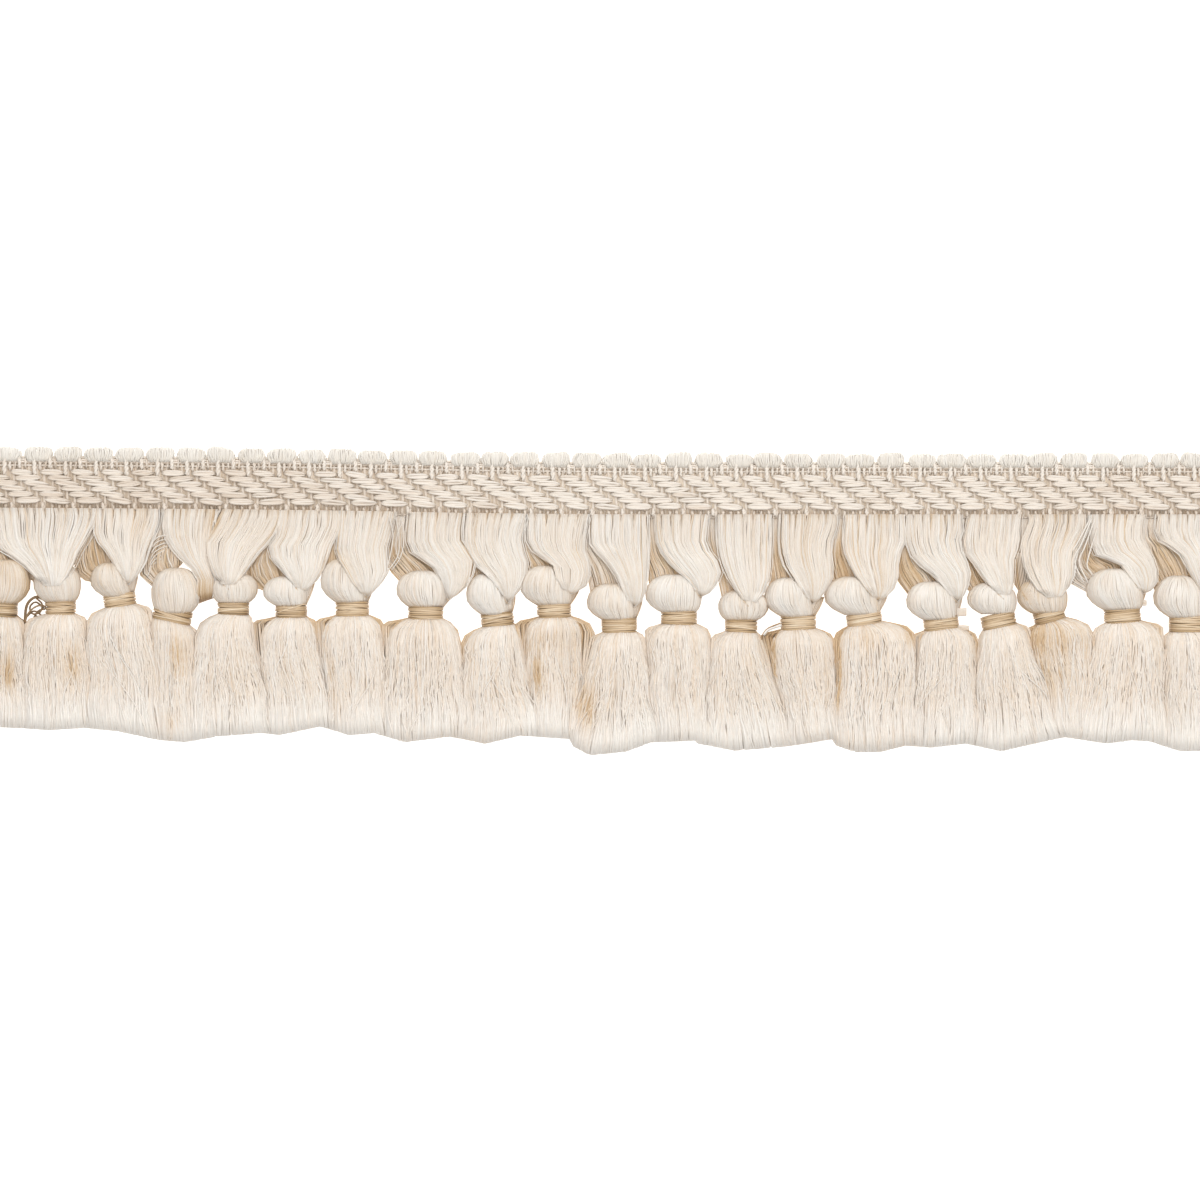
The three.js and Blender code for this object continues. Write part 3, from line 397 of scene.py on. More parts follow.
def make_tassel(t, before, rng):
    M = Mesh()
    tie_w, tie_h = t["tie"][2] * PX, t["tie"][3] * PX
    bx, by, brx, bry = lobe(t["ball"])
    lobes = [(bx, by, brx, bry, BALL_DEPTH)]
    if t["nub"]:
        nx, ny, nrx, nry = lobe(t["nub"])
        lobes.append((nx, ny, nrx, nry, 5.2))
    shade = t.get("shade", 0.0)

    # --- back lock, in the shade of the front one
    n = 9
    bl, br = list(t["bl"]), list(t["br"])
    if before and t["n"] != "04":
        line = sorted(before["right"], key=lambda p: p[1])
        py, px = [p[1] for p in line], [p[0] for p in line]
        bl = [(np.interp(y, py, px) - 3.0, y) for y in (line[0][1], line[0][1] + 17, 552)] + [(min(x, np.interp(y, py, px) - 2) if y < 572 else x, y) for x, y in bl if y > 558]
        br = [(x + 5, y - 2) for x, y in t["left"] if y < t["ball"][2] + 2]
        br.append((max(br[-1][0], (t["ball"][0] + t["ball"][1]) / 2 - 2), t["ball"][2] + 10))
    bl[-1] = (max(bl[-1][0], t["ball"][0] + 5), max(bl[-1][1], t["ball"][2] * 0.55 + t["ball"][3] * 0.45))
    L, R = spline(pts(*bl), n), spline(pts(*br), n)
    L[0, 1], R[0, 1] = lower_edge(L[0, 0]) + 0.6, lower_edge(R[0, 0]) + 0.6
    k = 46
    u = np.linspace(0, 1, k)[:, None] + rng.normal(0, 0.01, (k, 1))
    v = np.linspace(0, 1, n)[None, :]
    P = np.empty((k, n, 3))
    uu = np.clip(u + rng.normal(0, 0.05, (k, 1)) * np.sin(np.pi * v * rng.uniform(0.6, 1.6, (k, 1)) + rng.uniform(0, 6, (k, 1))), -0.01, 1.01)
    P[..., :2] = L[None] * (1 - uu)[..., None] + R[None] * uu[..., None]
    crown = np.sqrt(np.clip(1 - (2 * uu - 1) ** 2, 0, 1))
    P[..., 2] = 1.0 + 2.0 * smooth(0, 0.95, v) + 0.35 * crown * smooth(0, 0.5, v) + rng.normal(0, 0.05, (k, 1))
    tone = 0.79 - 0.33 * smooth(0.0, 0.55, v) + rng.normal(0, 0.045, (k, 1)) - 0.05 * u + t.get("back", 0.0) * smooth(0.0, 0.4, v) \
        + t.get("bright_side", 0.0) * (1 - smooth(0.2, 0.42, uu))
    tone = np.where(rng.random((k, 1)) < 0.16, tone + 0.22, tone)
    M.tubes(P, rng.uniform(0.16, 0.22, k), 3, tone, rng.random(k), phase=rng.uniform(0, 2, k))
    rings = []
    for q in range(n):
        a, b = L[q], R[q]
        top = 0.92 + 2.0 * float(smooth(0, 0.95, v[0, q]))
        rings.append([[*(a * (1 - c) + b * c), max(top + d, 0.15)] for c, d in
                      ((0.0, -0.5), (0.5, -1.4), (1.0, -0.5), (1.0, -0.05), (0.5, 0.25 * float(smooth(0, 0.5, v[0, q]))), (0.0, -0.05))])
    M.skin(rings, tone=np.linspace(0.58, 0.46, n))

    # --- knot: strands run over it from its top to the tie
    def knot(cx, cy, rx, ry, depth, front, back, down, tone0, r0):
        """down: the point its strands close to, in plan."""
        n = 9
        th = np.array([0.05, 0.14, 0.24, 0.35, 0.46, 0.57, 0.67, 0.755, 0.82]) * np.pi
        ph = np.concatenate([np.linspace(-0.03, 1.03, front) * np.pi, np.linspace(1.08, 1.92, back) * np.pi])
        k = len(ph)
        s = np.sin(th) ** 0.80
        yc = cy - ry * 0.07 + ry * 1.07 * np.cos(th)
        xc = cx + (down[0] - cx) * smooth(0.55, 1.0, np.linspace(0, 1, n)) * 0.85
        jit = 1 + rng.normal(0, 0.005, (k, 1))
        lean = rng.uniform(-0.2, 0.2)
        P = np.empty((k, n, 3))
        a = ph[:, None] + (lean + rng.normal(0, 0.05, (k, 1))) * np.linspace(-1, 1, n)[None, :] + rng.normal(0, 0.012, (k, 1))
        P[..., 0] = xc + rx * s * np.cos(a) * jit
        P[..., 1] = yc + 0.0 * a
        P[..., 2] = depth / 2 + depth / 2 * s * np.sin(a) * jit
        # painted shade: the strands are darker near the top, where the back lock comes over, near the tie, and round
        # the sides; the skin beneath is a darker fill, painted shade seen between the strands
        side = np.abs(np.cos(a)) ** 5
        tn = tone0 - 0.20 * (1 - smooth(0.08, 0.3, th / np.pi))[None, :] - 0.16 * smooth(0.70, 0.82, th / np.pi)[None, :] \
            - 0.24 * side + rng.normal(0, 0.028, (k, 1)) + 0.045 * np.sin(2.3 * a + 4.0 * th[None, :] + rng.uniform(0, 6.3))
        M.tubes(P, r0, 3, tn, rng.random(k), phase=rng.uniform(0, 2, k))
        g = np.linspace(0, 2 * np.pi, 20, endpoint=False)
        M.skin([[[xc[q] + rx * s[q] * 0.988 * math.cos(w), yc[q], depth / 2 + depth / 2 * s[q] * 0.988 * math.sin(w)] for w in g]
                for q in range(n)], tone=tone0 - 0.14)

    knot(bx, by, brx, bry, BALL_DEPTH, 88, 10, on_tie(t, 0, tie_h / 2), 0.95 - t.get("ball_shade", 0) - shade, 0.205)
    if t["nub"]:
        # the lock's own strands come out under its tip and run down into the tie
        x0, x1, y0, y1 = t["nub"]
        k, n = 24, 6
        u = np.linspace(0, 1, k)[:, None] + rng.normal(0, 0.02, (k, 1))
        v = np.linspace(0, 1, n)[None, :]
        tie_end = on_tie(t, tie_w / 2 - 0.35, tie_h / 2 - 0.3)
        (ax, ay), (cx, cy) = at(x0, y0 - 4), at(x1, y0 - 4)
        xs = (ax + (cx - ax) * u) * (1 - v) + (tie_end[0] - (cx - ax) * 0.9 * (1 - u)) * v
        P = np.empty((k, n, 3))
        P[..., 0] = xs + 0.35 * np.sin(np.pi * v) * (u - 0.35)
        P[..., 1] = ay * (1 - v) + tie_end[1] * v
        P[..., 2] = 2.6 + 2.2 * np.sin(np.pi * np.clip(u, 0.05, 0.95)) * (1 - 0.15 * v) + rng.normal(0, 0.05, (k, 1))
        # painted shade: darker at its sides, where it comes out under the lock's tip, and near the tie
        M.tubes(P, 0.19, 3, 0.80 - 0.22 * np.abs(2 * u - 1) ** 2 - 0.25 * (1 - smooth(0, 0.3, v)) - 0.1 * smooth(0.8, 1, v) + rng.normal(0, 0.05, (k, 1)) - shade,
                rng.random(k), phase=rng.uniform(0, 2, k))

    # --- front lock: bundles that leave the braid, run together and tuck in at the tip
    n = 10
    line = np.array([0, 0.08, 0.17, 0.28, 0.40, 0.53, 0.66, 0.79, 0.91, 1.0])

    def along(curve, end):
        p = np.vstack([pts(*curve), pts(end)])
        p[0, 1] = lower_edge(p[0, 0]) + 0.8
        c = spline(p, 61)
        return np.stack([np.interp(line, np.linspace(0, 1, 61), c[:, q]) for q in range(2)], axis=1)

    tips = t.get("tips", (t["tip"], t["tip"]))
    L, R = along(t["left"], tips[0]), along(t["right"], tips[1])
    width = abs(R[0, 0] - L[0, 0])
    groups = max(3, int(round(width / 2.0)))
    total = int(round(np.interp(width, [10, 24], [132, 190])))
    cut = np.cumsum(np.concatenate([[0], rng.uniform(0.55, 1.45, groups)]))
    cut /= cut[-1]
    v = line
    U, tone, zadd = [], [], []
    for g in range(groups):
        c, w0 = (cut[g] + cut[g + 1]) / 2, cut[g + 1] - cut[g]
        per = max(6, int(round(total * w0)))
        close = rng.uniform(0.12, 0.32)
        w = np.linspace(-1, 1, per) + rng.normal(0, 0.06, per)
        spread = w0 * (0.385 + 0.165 * smooth(0.0, close, v))
        cross = rng.normal(0, 0.014, (per, 1)) * smooth(0.2, 1, v)[None, :]
        U.append(c + w[:, None] * spread[None, :] + cross)
        zadd.append((0.32 * (1 - w[:, None] ** 2)) * (1 - 0.75 * smooth(0, 0.6, v))[None, :] + rng.normal(0, 0.035, (per, 1)))
        # painted shade: the bundle edges are darker near the braid, where the bundles part
        tone.append(0.92 - 0.18 * np.abs(w)[:, None] ** 3 * (1 - smooth(0, 0.6, v))[None, :] + rng.normal(0, 0.07, (per, 1)) - 0.24 * (rng.random((per, 1)) < 0.12))
    # deep strands under the bundles, darker as painted shade
    deep = 20
    U.append(np.broadcast_to(rng.random((deep, 1)), (deep, n)).copy())
    zadd.append(np.broadcast_to(rng.normal(-0.4, 0.08, (deep, 1)), (deep, n)).copy())
    tone.append(np.broadcast_to(rng.normal(0.52, 0.08, (deep, 1)), (deep, n)).copy())
    U, tone, zadd = np.clip(np.vstack(U), -0.02, 1.02), np.vstack(tone), np.vstack(zadd)
    k = len(U)
    low = t.get("low", 0.0)

    def lift_of(xy, uu, extra):
        crown = np.sqrt(np.clip(1 - (2 * uu - 1) ** 2, 0, 1))
        z = 1.75 + (3.3 - low) * smooth(0, 0.8, v)[None, :] + 1.1 * crown * (0.35 + 0.65 * smooth(0.1, 0.7, v))[None, :] + extra
        # it rides over the knot: the highest the knot stands along each stretch of the strand
        fine = np.linspace(0, 1, 55)
        at_ = np.stack([np.stack([np.interp(fine, line, row[:, q]) for row in xy]) for q in range(2)], axis=-1)
        rest_fine = height_of([(a, b, c * 1.03, d * 1.05, e) for a, b, c, d, e in lobes], at_[..., 0], at_[..., 1])
        rest = np.zeros_like(z)
        for q in range(n):
            lo, hi = line[max(q - 1, 0)], line[min(q + 1, n - 1)]
            near = (fine >= (line[q] + lo) / 2 - 1e-6) & (fine <= (line[q] + hi) / 2 + 1e-6) & (fine < 0.96)
            if near.any():
                rest[:, q] = rest_fine[:, near].max(axis=1)
        z = np.where((rest > 0) & (v[None, :] < 0.97), np.maximum(z, rest + 0.2 + np.maximum(extra, -0.3)), z)
        return z - 1.9 * smooth(0.93, 1.0, v)[None, :]

    P = np.empty((k, n, 3))
    P[..., :2] = L[None] * (1 - U)[..., None] + R[None] * U[..., None]
    wob = rng.normal(0, 0.085, (k, 1)) * np.sin(2 * np.pi * v[None, :] * rng.uniform(0.7, 2, (k, 1)) + rng.uniform(0, 6, (k, 1)))
    P[..., 0] += wob * smooth(0, 0.2, v)[None, :] * (1 - smooth(0.85, 1, v))[None, :]
    P[..., 2] = lift_of(P[..., :2], U, zadd)
    # painted shade: darker where the lock tucks in at its tip and just under the braid, and for some tassels darker
    # still towards the tucked-in tip
    tone = tone - 0.4 * smooth(0.91, 1, v)[None, :] - 0.08 * (1 - smooth(0, 0.08, v))[None, :] - shade - t.get("dim", 0.0) \
        - t.get("painted_shade", 0.0) * smooth(0.6, 0.95, v)[None, :]
    for ox, oy, ow, oh, strength in t.get("shadows", ()):
        cx, cy = at(ox, oy)
        tone = tone - strength * np.exp(-((P[..., 0] - cx) / (ow * PX)) ** 2 - ((P[..., 1] - cy) / (oh * PX)) ** 2)
    rad = rng.uniform(0.13, 0.185, (k, 1)) * (1 - 0.3 * smooth(0.8, 1, v))[None, :]
    M.tubes(P, rad, 3, tone, rng.random(k), phase=rng.uniform(0, 2, k))
    # a bed under the front lock, darker at the braid and at the tip as painted shade
    cs = np.array([0.04, 0.3, 0.5, 0.7, 0.96])
    xy = L[None] * (1 - cs)[:, None, None] + R[None] * cs[:, None, None]
    zt = lift_of(xy, np.broadcast_to(cs[:, None], (5, n)), -0.32 * np.ones((5, n)))
    rings = [[[*xy[c, q], zt[c, q]] for c in (4, 3, 2, 1, 0)] + [[*xy[c, q], max(zt[c, q] - (0.5 if c in (0, 4) else 1.4), 0.4)] for c in (0, 2, 4)]
             for q in range(n)]
    M.skin(rings, tone=np.interp(np.arange(n), [0, 2, 8, 9], [0.5, 0.72, 0.72, 0.4]))
    # the shaded strands turned in under its left edge, where it crosses the knot
    k = 6
    f = rng.uniform(0.5, 0.66, k)
    P = np.empty((k, 7, 3))
    for q in range(k):
        w = np.linspace(f[q], 1.0, 7)
        ex = np.interp(w, line, L[:, 0]) - rng.uniform(0.0, 0.2)
        ey = np.interp(w, line, L[:, 1]) - rng.uniform(0.0, 0.16)
        P[q] = np.column_stack([ex, ey, np.maximum(height_of(lobes, ex, ey) + 0.05, 3.0)])
    M.tubes(P, rng.uniform(0.09, 0.14, k), 3, rng.normal(0.42, 0.08, k), rng.random(k))
    # loose bright strands along its sides
    k = 7
    P = np.empty((k, n, 3))
    for q in range(k):
        side, off, other = (L, -1, R) if q % 2 else (R, 1, L)
        amt = rng.uniform(-0.02, 0.05)
        P[q, :, :2] = side * (1 + amt) - other * amt
        P[q, :, 0] += off * rng.uniform(0.05, 0.5) * np.sin(np.pi * np.clip(v * rng.uniform(0.9, 1.2), 0, 1)) * smooth(0, 0.2, v)
        P[q, :, 2] = np.maximum(2.0 + 3.0 * smooth(0, 0.85, v), height_of(lobes, P[q, :, 0], P[q, :, 1]) * (v < 0.95) + 0.2)
    M.tubes(P, rng.uniform(0.08, 0.12, k), 3, rng.uniform(0.85, 1.1, k), rng.random(k))
    for line_px, z0, z1, rr, tn in t.get("strays", ()):
        p = spline(pts(*line_px), 12)
        z = np.linspace(z0, z1, 12) if z1 else np.maximum(z0, height_of(lobes, p[:, 0], p[:, 1]) + 0.12)
        M.tubes(np.column_stack([p, z])[None], rr, 3, np.array([tn]), np.array([rng.random()]))

    # --- skirt
    a = before["meet"] if before else FIRST_MEET
    af = before["foot"] if before else FIRST_FOOT
    grow = 7 if t["over"] < 0 else 0
    lift = 0.5 * t["over"]
    meetL, meetR = np.array(at(a[0] - grow * 0.4, a[1])), np.array(at(t["meet"][0] + grow * 0.4, t["meet"][1]))
    footL, footR = np.array(at(af[0] - grow, af[1])), np.array(at(t["foot"][0] + grow, t["foot"][1]))
    if t["over"] > 0:
        footL[0] -= 0.5
        footR[0] += 0.5
    half = tie_w / 2 - 0.5

    number = int(t["n"])

    def wander(sign, w):
        """How far the line between two skirts strays to the side, the same for both."""
        j = number if sign > 0 else number - 1
        g = (w - 0.22) / 0.78
        return 0.32 * math.sin(2.0 * math.pi * g * (1.0 + 0.25 * (j % 3)) + j * 1.7) * min(1.0, g * 2.5) * (1 if w > 0.22 else 0)

    def outline(sign, meet, foot, vv, drop, inset, rise=0.0):
        start, top = on_tie(t, sign * half, -tie_h / 2 + 0.35), on_tie(t, sign * (half + 0.15), -tie_h / 2 - 0.1)
        knee = np.array([meet[0] - sign * inset, min(meet[1] + rise, top[1] - drop)])
        if sign * (knee[0] - top[0]) < 0.4:
            knee[0] = top[0] + sign * 0.4
        out = [start]
        for w in vv[1:]:
            if w <= 0.22:
                g = (w / 0.22) * math.pi / 2
                out.append(np.array([top[0] + (knee[0] - top[0]) * math.sin(g), knee[1] + (top[1] - knee[1]) * math.cos(g)]))
            else:
                g = (w - 0.22) / 0.78
                out.append(knee * (1 - g) + (foot - np.array([sign * inset * 0.2, 0])) * g + np.array([wander(sign, w) + sign * 0.3 * min(1.0, g * 3), 0]))
        return np.array(out)

    arcL, arcR = t.get("arc", (0.3, 0.3))
    insetL, insetR = (arcL, arcR)

    behind = (-0.3 if arcL > 0.6 else 0.15, -0.3 if arcR > 0.6 else 0.15)

    def fall(k, phi, rho, tn, rad, vv, front=True, clump=0.4, wave=0.22, cross=0.03, crinkle=0.05, ragged=0.12):
        vv = np.asarray(vv)
        n = len(vv)
        if front:
            EL, ER = outline(-1, meetL, footL, vv, 3.9, insetL), outline(1, meetR, footR, vv, 3.9, insetR)
        else:
            EL, ER = outline(-1, meetL, footL, vv, 1.1, behind[0], 0.45), outline(1, meetR, footR, vv, 1.1, behind[1], 0.45)
        depth = np.interp(vv, [0, 0.05, 0.16, 0.3, 1], [4.9, 6.0, 7.1, 7.1, FOOT_DEPTH])
        centre = np.interp(vv, [0, 0.05, 0.16, 0.3, 1], [3.05, 3.2, 3.62, 3.6, FOOT_DEPTH / 2 + 0.1])
        centres = np.sort(rng.uniform(-math.pi / 2, math.pi / 2, 12))
        near = centres[np.argmin(np.abs(phi[:, None] - centres[None, :]), axis=1)]
        pull = clump * rng.uniform(0.3, 1, (k, 1)) * smooth(0.25, 1, vv)[None, :]
        ph = phi[:, None] + (near - phi)[:, None] * pull + rng.normal(0, cross, (k, 1)) * smooth(0.1, 1, vv)[None, :] * 3
        uu = np.sin(np.clip(ph, -1.62, 1.62))
        P = np.empty((k, n, 3))
        P[..., :2] = EL[None] * (1 - (uu + 1) / 2)[..., None] + ER[None] * ((uu + 1) / 2)[..., None]
        amp = rng.uniform(0.04, wave, (k, 1)) * smooth(0.12, 0.7, vv)[None, :]
        P[..., 0] += amp * np.sin(2 * np.pi * (vv[None, :] * rng.uniform(0.5, 2.4, (k, 1)) + rng.random((k, 1))))
        P[..., 0] += rng.normal(0, crinkle, (k, n)) * rng.uniform(0.5, 1.5, (k, 1)) * (smooth(0.08, 0.26, vv) * (1 - 0.92 * smooth(0.7, 0.9, vv)))[None, :]
        z = centre[None, :] + depth[None, :] / 2 * rho[:, None] * np.cos(ph) + lift * smooth(0.08, 0.3, vv)[None, :]
        z += amp * 0.3 * np.sin(2 * np.pi * (vv[None, :] * rng.uniform(0.6, 2.4, (k, 1)) + rng.random((k, 1))))
        P[..., 2] = z
        knee = int(np.argmin(np.abs(vv - 0.22)))
        target = hem(P[:, -1, 0]) + np.minimum(rng.gamma(1.5, ragged, k), 0.4) * (rng.random(k) < 0.7)
        y0 = P[:, knee, 1]
        f = (target - y0) / (P[:, -1, 1] - y0)
        P[:, knee:, 1] = y0[:, None] + (P[:, knee:, 1] - y0[:, None]) * f[:, None]
        painted_shade = None
        # painted shade: darker spots where the skirt parts or passes under a neighbour; the hem patches darken it the
        # same way
        for ox, oy, ow, oh, *strength in t.get("shade_spots", ()) + HEM_SHADES:
            (cx, cy) = at(ox, oy)
            dx, dy = P[..., 0] - cx, P[..., 1] - cy
            spot = np.exp(-(dx / (ow * PX)) ** 2 - (dy / (oh * PX)) ** 2) * rng.uniform(0.4, 1.15, (k, 1)) * (strength[0] if strength else 1.0)
            painted_shade = spot if painted_shade is None else np.maximum(painted_shade, spot)
        rr = rad[:, None] * np.interp(vv, [0, 0.05, 0.6, 0.8, 0.9, 1.0], [0.8, 1, 1.05, 1.45, 2.05, 2.05])[None, :]
        tn = np.broadcast_to(tn(vv) if callable(tn) else tn, (k, n))
        M.tubes(P, rr, 3, tn if painted_shade is None else tn - 0.56 * painted_shade, rng.random(k), phase=rng.uniform(0, 2, k))

    M.curl, M.coat = 1.0, 1
    FINE = [0, 0.04, 0.09, 0.15, 0.22, 0.285, 0.35, 0.415, 0.48, 0.545, 0.61, 0.68, 0.75, 0.82, 0.89, 1.0]
    PLAIN = [0, 0.06, 0.13, 0.22, 0.48, 0.75, 1.0]
    # back and sides, in the shade: they stand out round the shoulders
    k = 44
    phi = np.concatenate([np.linspace(-1.57, -0.62, k // 2), np.linspace(0.62, 1.57, k - k // 2)]) + rng.normal(0, 0.02, k)
    col = rng.normal(0, 0.07, (k, 1))
    deep = 0.42 if max(t.get("arc", (0, 0))) > 0.6 else 0.68
    fall(k, phi, rng.uniform(0.2, 0.5, k), lambda vv: deep + (0.9 - deep) * smooth(0.15, 0.42, vv)[None, :] + col, rng.uniform(0.15, 0.2, k), PLAIN, front=False, clump=0.1)
    k = 16
    fall(k, rng.uniform(-1.5, 1.5, k), rng.uniform(-1.0, -0.4, k), rng.normal(0.8, 0.07, (k, 1)), rng.uniform(0.17, 0.24, k), PLAIN, clump=0.1)
    # inner strands, seen at the hem and where the front ones part: darker than the front ones as painted shade, lighter
    # toward the hem as painted light
    k = 30
    fall(k, rng.uniform(-1.4, 1.4, k), rng.uniform(-0.3, 0.85, k), rng.normal(0.78, 0.08, (k, 1)) + 0.15 * smooth(0.6, 0.9, np.array(PLAIN))[None, :], rng.uniform(0.15, 0.21, k), PLAIN, clump=0.1)
    # front
    k = 168
    phi = np.arcsin(np.clip(np.linspace(-0.985, 0.985, k) + rng.normal(0, 0.008, k), -0.99, 0.99)) * 0.5 + np.linspace(-1.5, 1.5, k) * 0.5
    rim = np.abs(np.sin(phi))[:, None] ** 6
    col = rng.normal(0, 0.065, (k, 1)) + 0.05 * np.sin(phi[:, None] * rng.uniform(6, 10) + rng.uniform(0, 6))
    # painted shade: the sides are darker near the shoulders and the strands darker just under the tie; painted light:
    # the strands are lighter toward the hem
    fall(k, phi, 1 + rng.normal(0, 0.022, k),
         lambda vv: 0.91 - 0.14 * rim * (1 - smooth(0.2, 0.5, vv))[None, :] - 0.12 * (1 - smooth(0.02, 0.1, vv))[None, :]
         + 0.26 * smooth(0.6, 0.92, vv)[None, :] + col * (1 - 0.88 * smooth(0.68, 0.88, vv))[None, :] - shade,
         rng.uniform(0.15, 0.215, k), FINE, clump=0.15, wave=0.32, cross=0.045, crinkle=0.16, ragged=0.06)
    # stray strands that cross the others
    k = 16
    fall(k, rng.uniform(-1.35, 1.35, k), np.full(k, 1.075), np.full((k, 1), 1.06), rng.uniform(0.1, 0.14, k),
         [0, 0.06, 0.13, 0.22, 0.29, 0.36, 0.43, 0.5, 0.57, 0.64, 0.71, 0.78, 0.85, 0.92, 1.0], clump=0.0, wave=0.8, cross=0.22, crinkle=0.02)
    # bed
    m = 22
    vv = np.array(FINE)
    EL, ER = outline(-1, meetL, footL, vv, 3.9, insetL), outline(1, meetR, footR, vv, 3.9, insetR)
    depth = np.interp(vv, [0, 0.05, 0.16, 0.3, 1], [4.9, 6.0, 7.1, 7.1, FOOT_DEPTH])
    centre = np.interp(vv, [0, 0.05, 0.16, 0.3, 1], [3.05, 3.2, 3.62, 3.6, FOOT_DEPTH / 2 + 0.1])
    g = np.linspace(0, 2 * np.pi, m, endpoint=False)
    rings, tn = [], []
    for q, tight in [(q, 1.0) for q in range(len(vv))] + [(len(vv) - 1, 0.8)]:
        c, h = (EL[q] + ER[q]) / 2, (ER[q] - EL[q]) / 2 * (0.95 + 0.03 * float(smooth(0.7, 0.95, vv[q]))) * tight
        for ang in g:
            p = c + h * math.cos(ang)
            if q == len(vv) - 1:
                p = np.array([p[0], hem(p[0]) + (0.8 if tight == 1.0 else 1.1)])
            rings.append([p[0], p[1], centre[q] + lift * float(smooth(0.08, 0.3, vv[q])) + depth[q] / 2 * (0.956 + 0.026 * float(smooth(0.7, 0.9, vv[q]))) * tight * math.sin(ang)])
            # painted shade: the bed is darker under the skirt's shaded spots and in its closing ring; painted light: it
            # is lighter toward the hem
            spot_shade = 0.0
            for ox, oy, ow, oh, *strength in t.get("shade_spots", ()) + HEM_SHADES:
                cx, cy = at(ox, oy)
                spot_shade = max(spot_shade, (strength[0] if strength else 1.0) * math.exp(-((p[0] - cx) / (ow * PX * 1.6)) ** 2 - ((p[1] - cy) / (oh * PX * 1.2)) ** 2))
            tn.append(0.76 + 0.3 * float(smooth(0.55, 0.88, vv[q])) - 0.3 * spot_shade - shade if tight == 1.0 else 0.66)
    M.skin(np.array(rings).reshape(len(vv) + 1, m, 3), tone=np.array(tn))
    # the cut ends that fill the foot
    k = 56
    ang, far = rng.uniform(0, 2 * np.pi, k), 0.93 * np.sqrt(rng.random(k))
    x = (EL[-1, 0] + ER[-1, 0]) / 2 + (ER[-1, 0] - EL[-1, 0]) / 2 * far * np.cos(ang)
    z = np.maximum(centre[-1] + lift + depth[-1] / 2 * far * np.sin(ang), 0.4)
    y = hem(x) + rng.uniform(0.05, 0.5, k)
    M.tubes(np.stack([np.stack([x, y + 1.6, z], axis=1), np.stack([x + rng.normal(0, 0.15, k), y, z], axis=1)], axis=1),
            rng.uniform(0.2, 0.32, k), 3, rng.normal(0.9, 0.12, (k, 1)), rng.random(k), phase=rng.uniform(0, 2, k))
    # a flat bed behind, under the shaded shoulders
    vv = np.array([0.03, 0.08, 0.15, 0.22, 0.6, 0.9])
    EL, ER = outline(-1, meetL, footL, np.concatenate([[0], vv]), 1.1, behind[0], 0.45)[1:], outline(1, meetR, footR, np.concatenate([[0], vv]), 1.1, behind[1], 0.45)[1:]
    rings = [[[*(EL[q] * (1 - c) + ER[q] * c), z] for c, z in ((0.03, 1.6), (0.5, 0.5), (0.97, 1.6), (0.96, 3.0), (0.5, 3.4), (0.04, 3.0))] for q in range(len(vv))]
    M.skin(rings, tone=np.array([0.36, 0.38, 0.42, 0.46, 0.6, 0.7]) + (deep - 0.42))
    return M


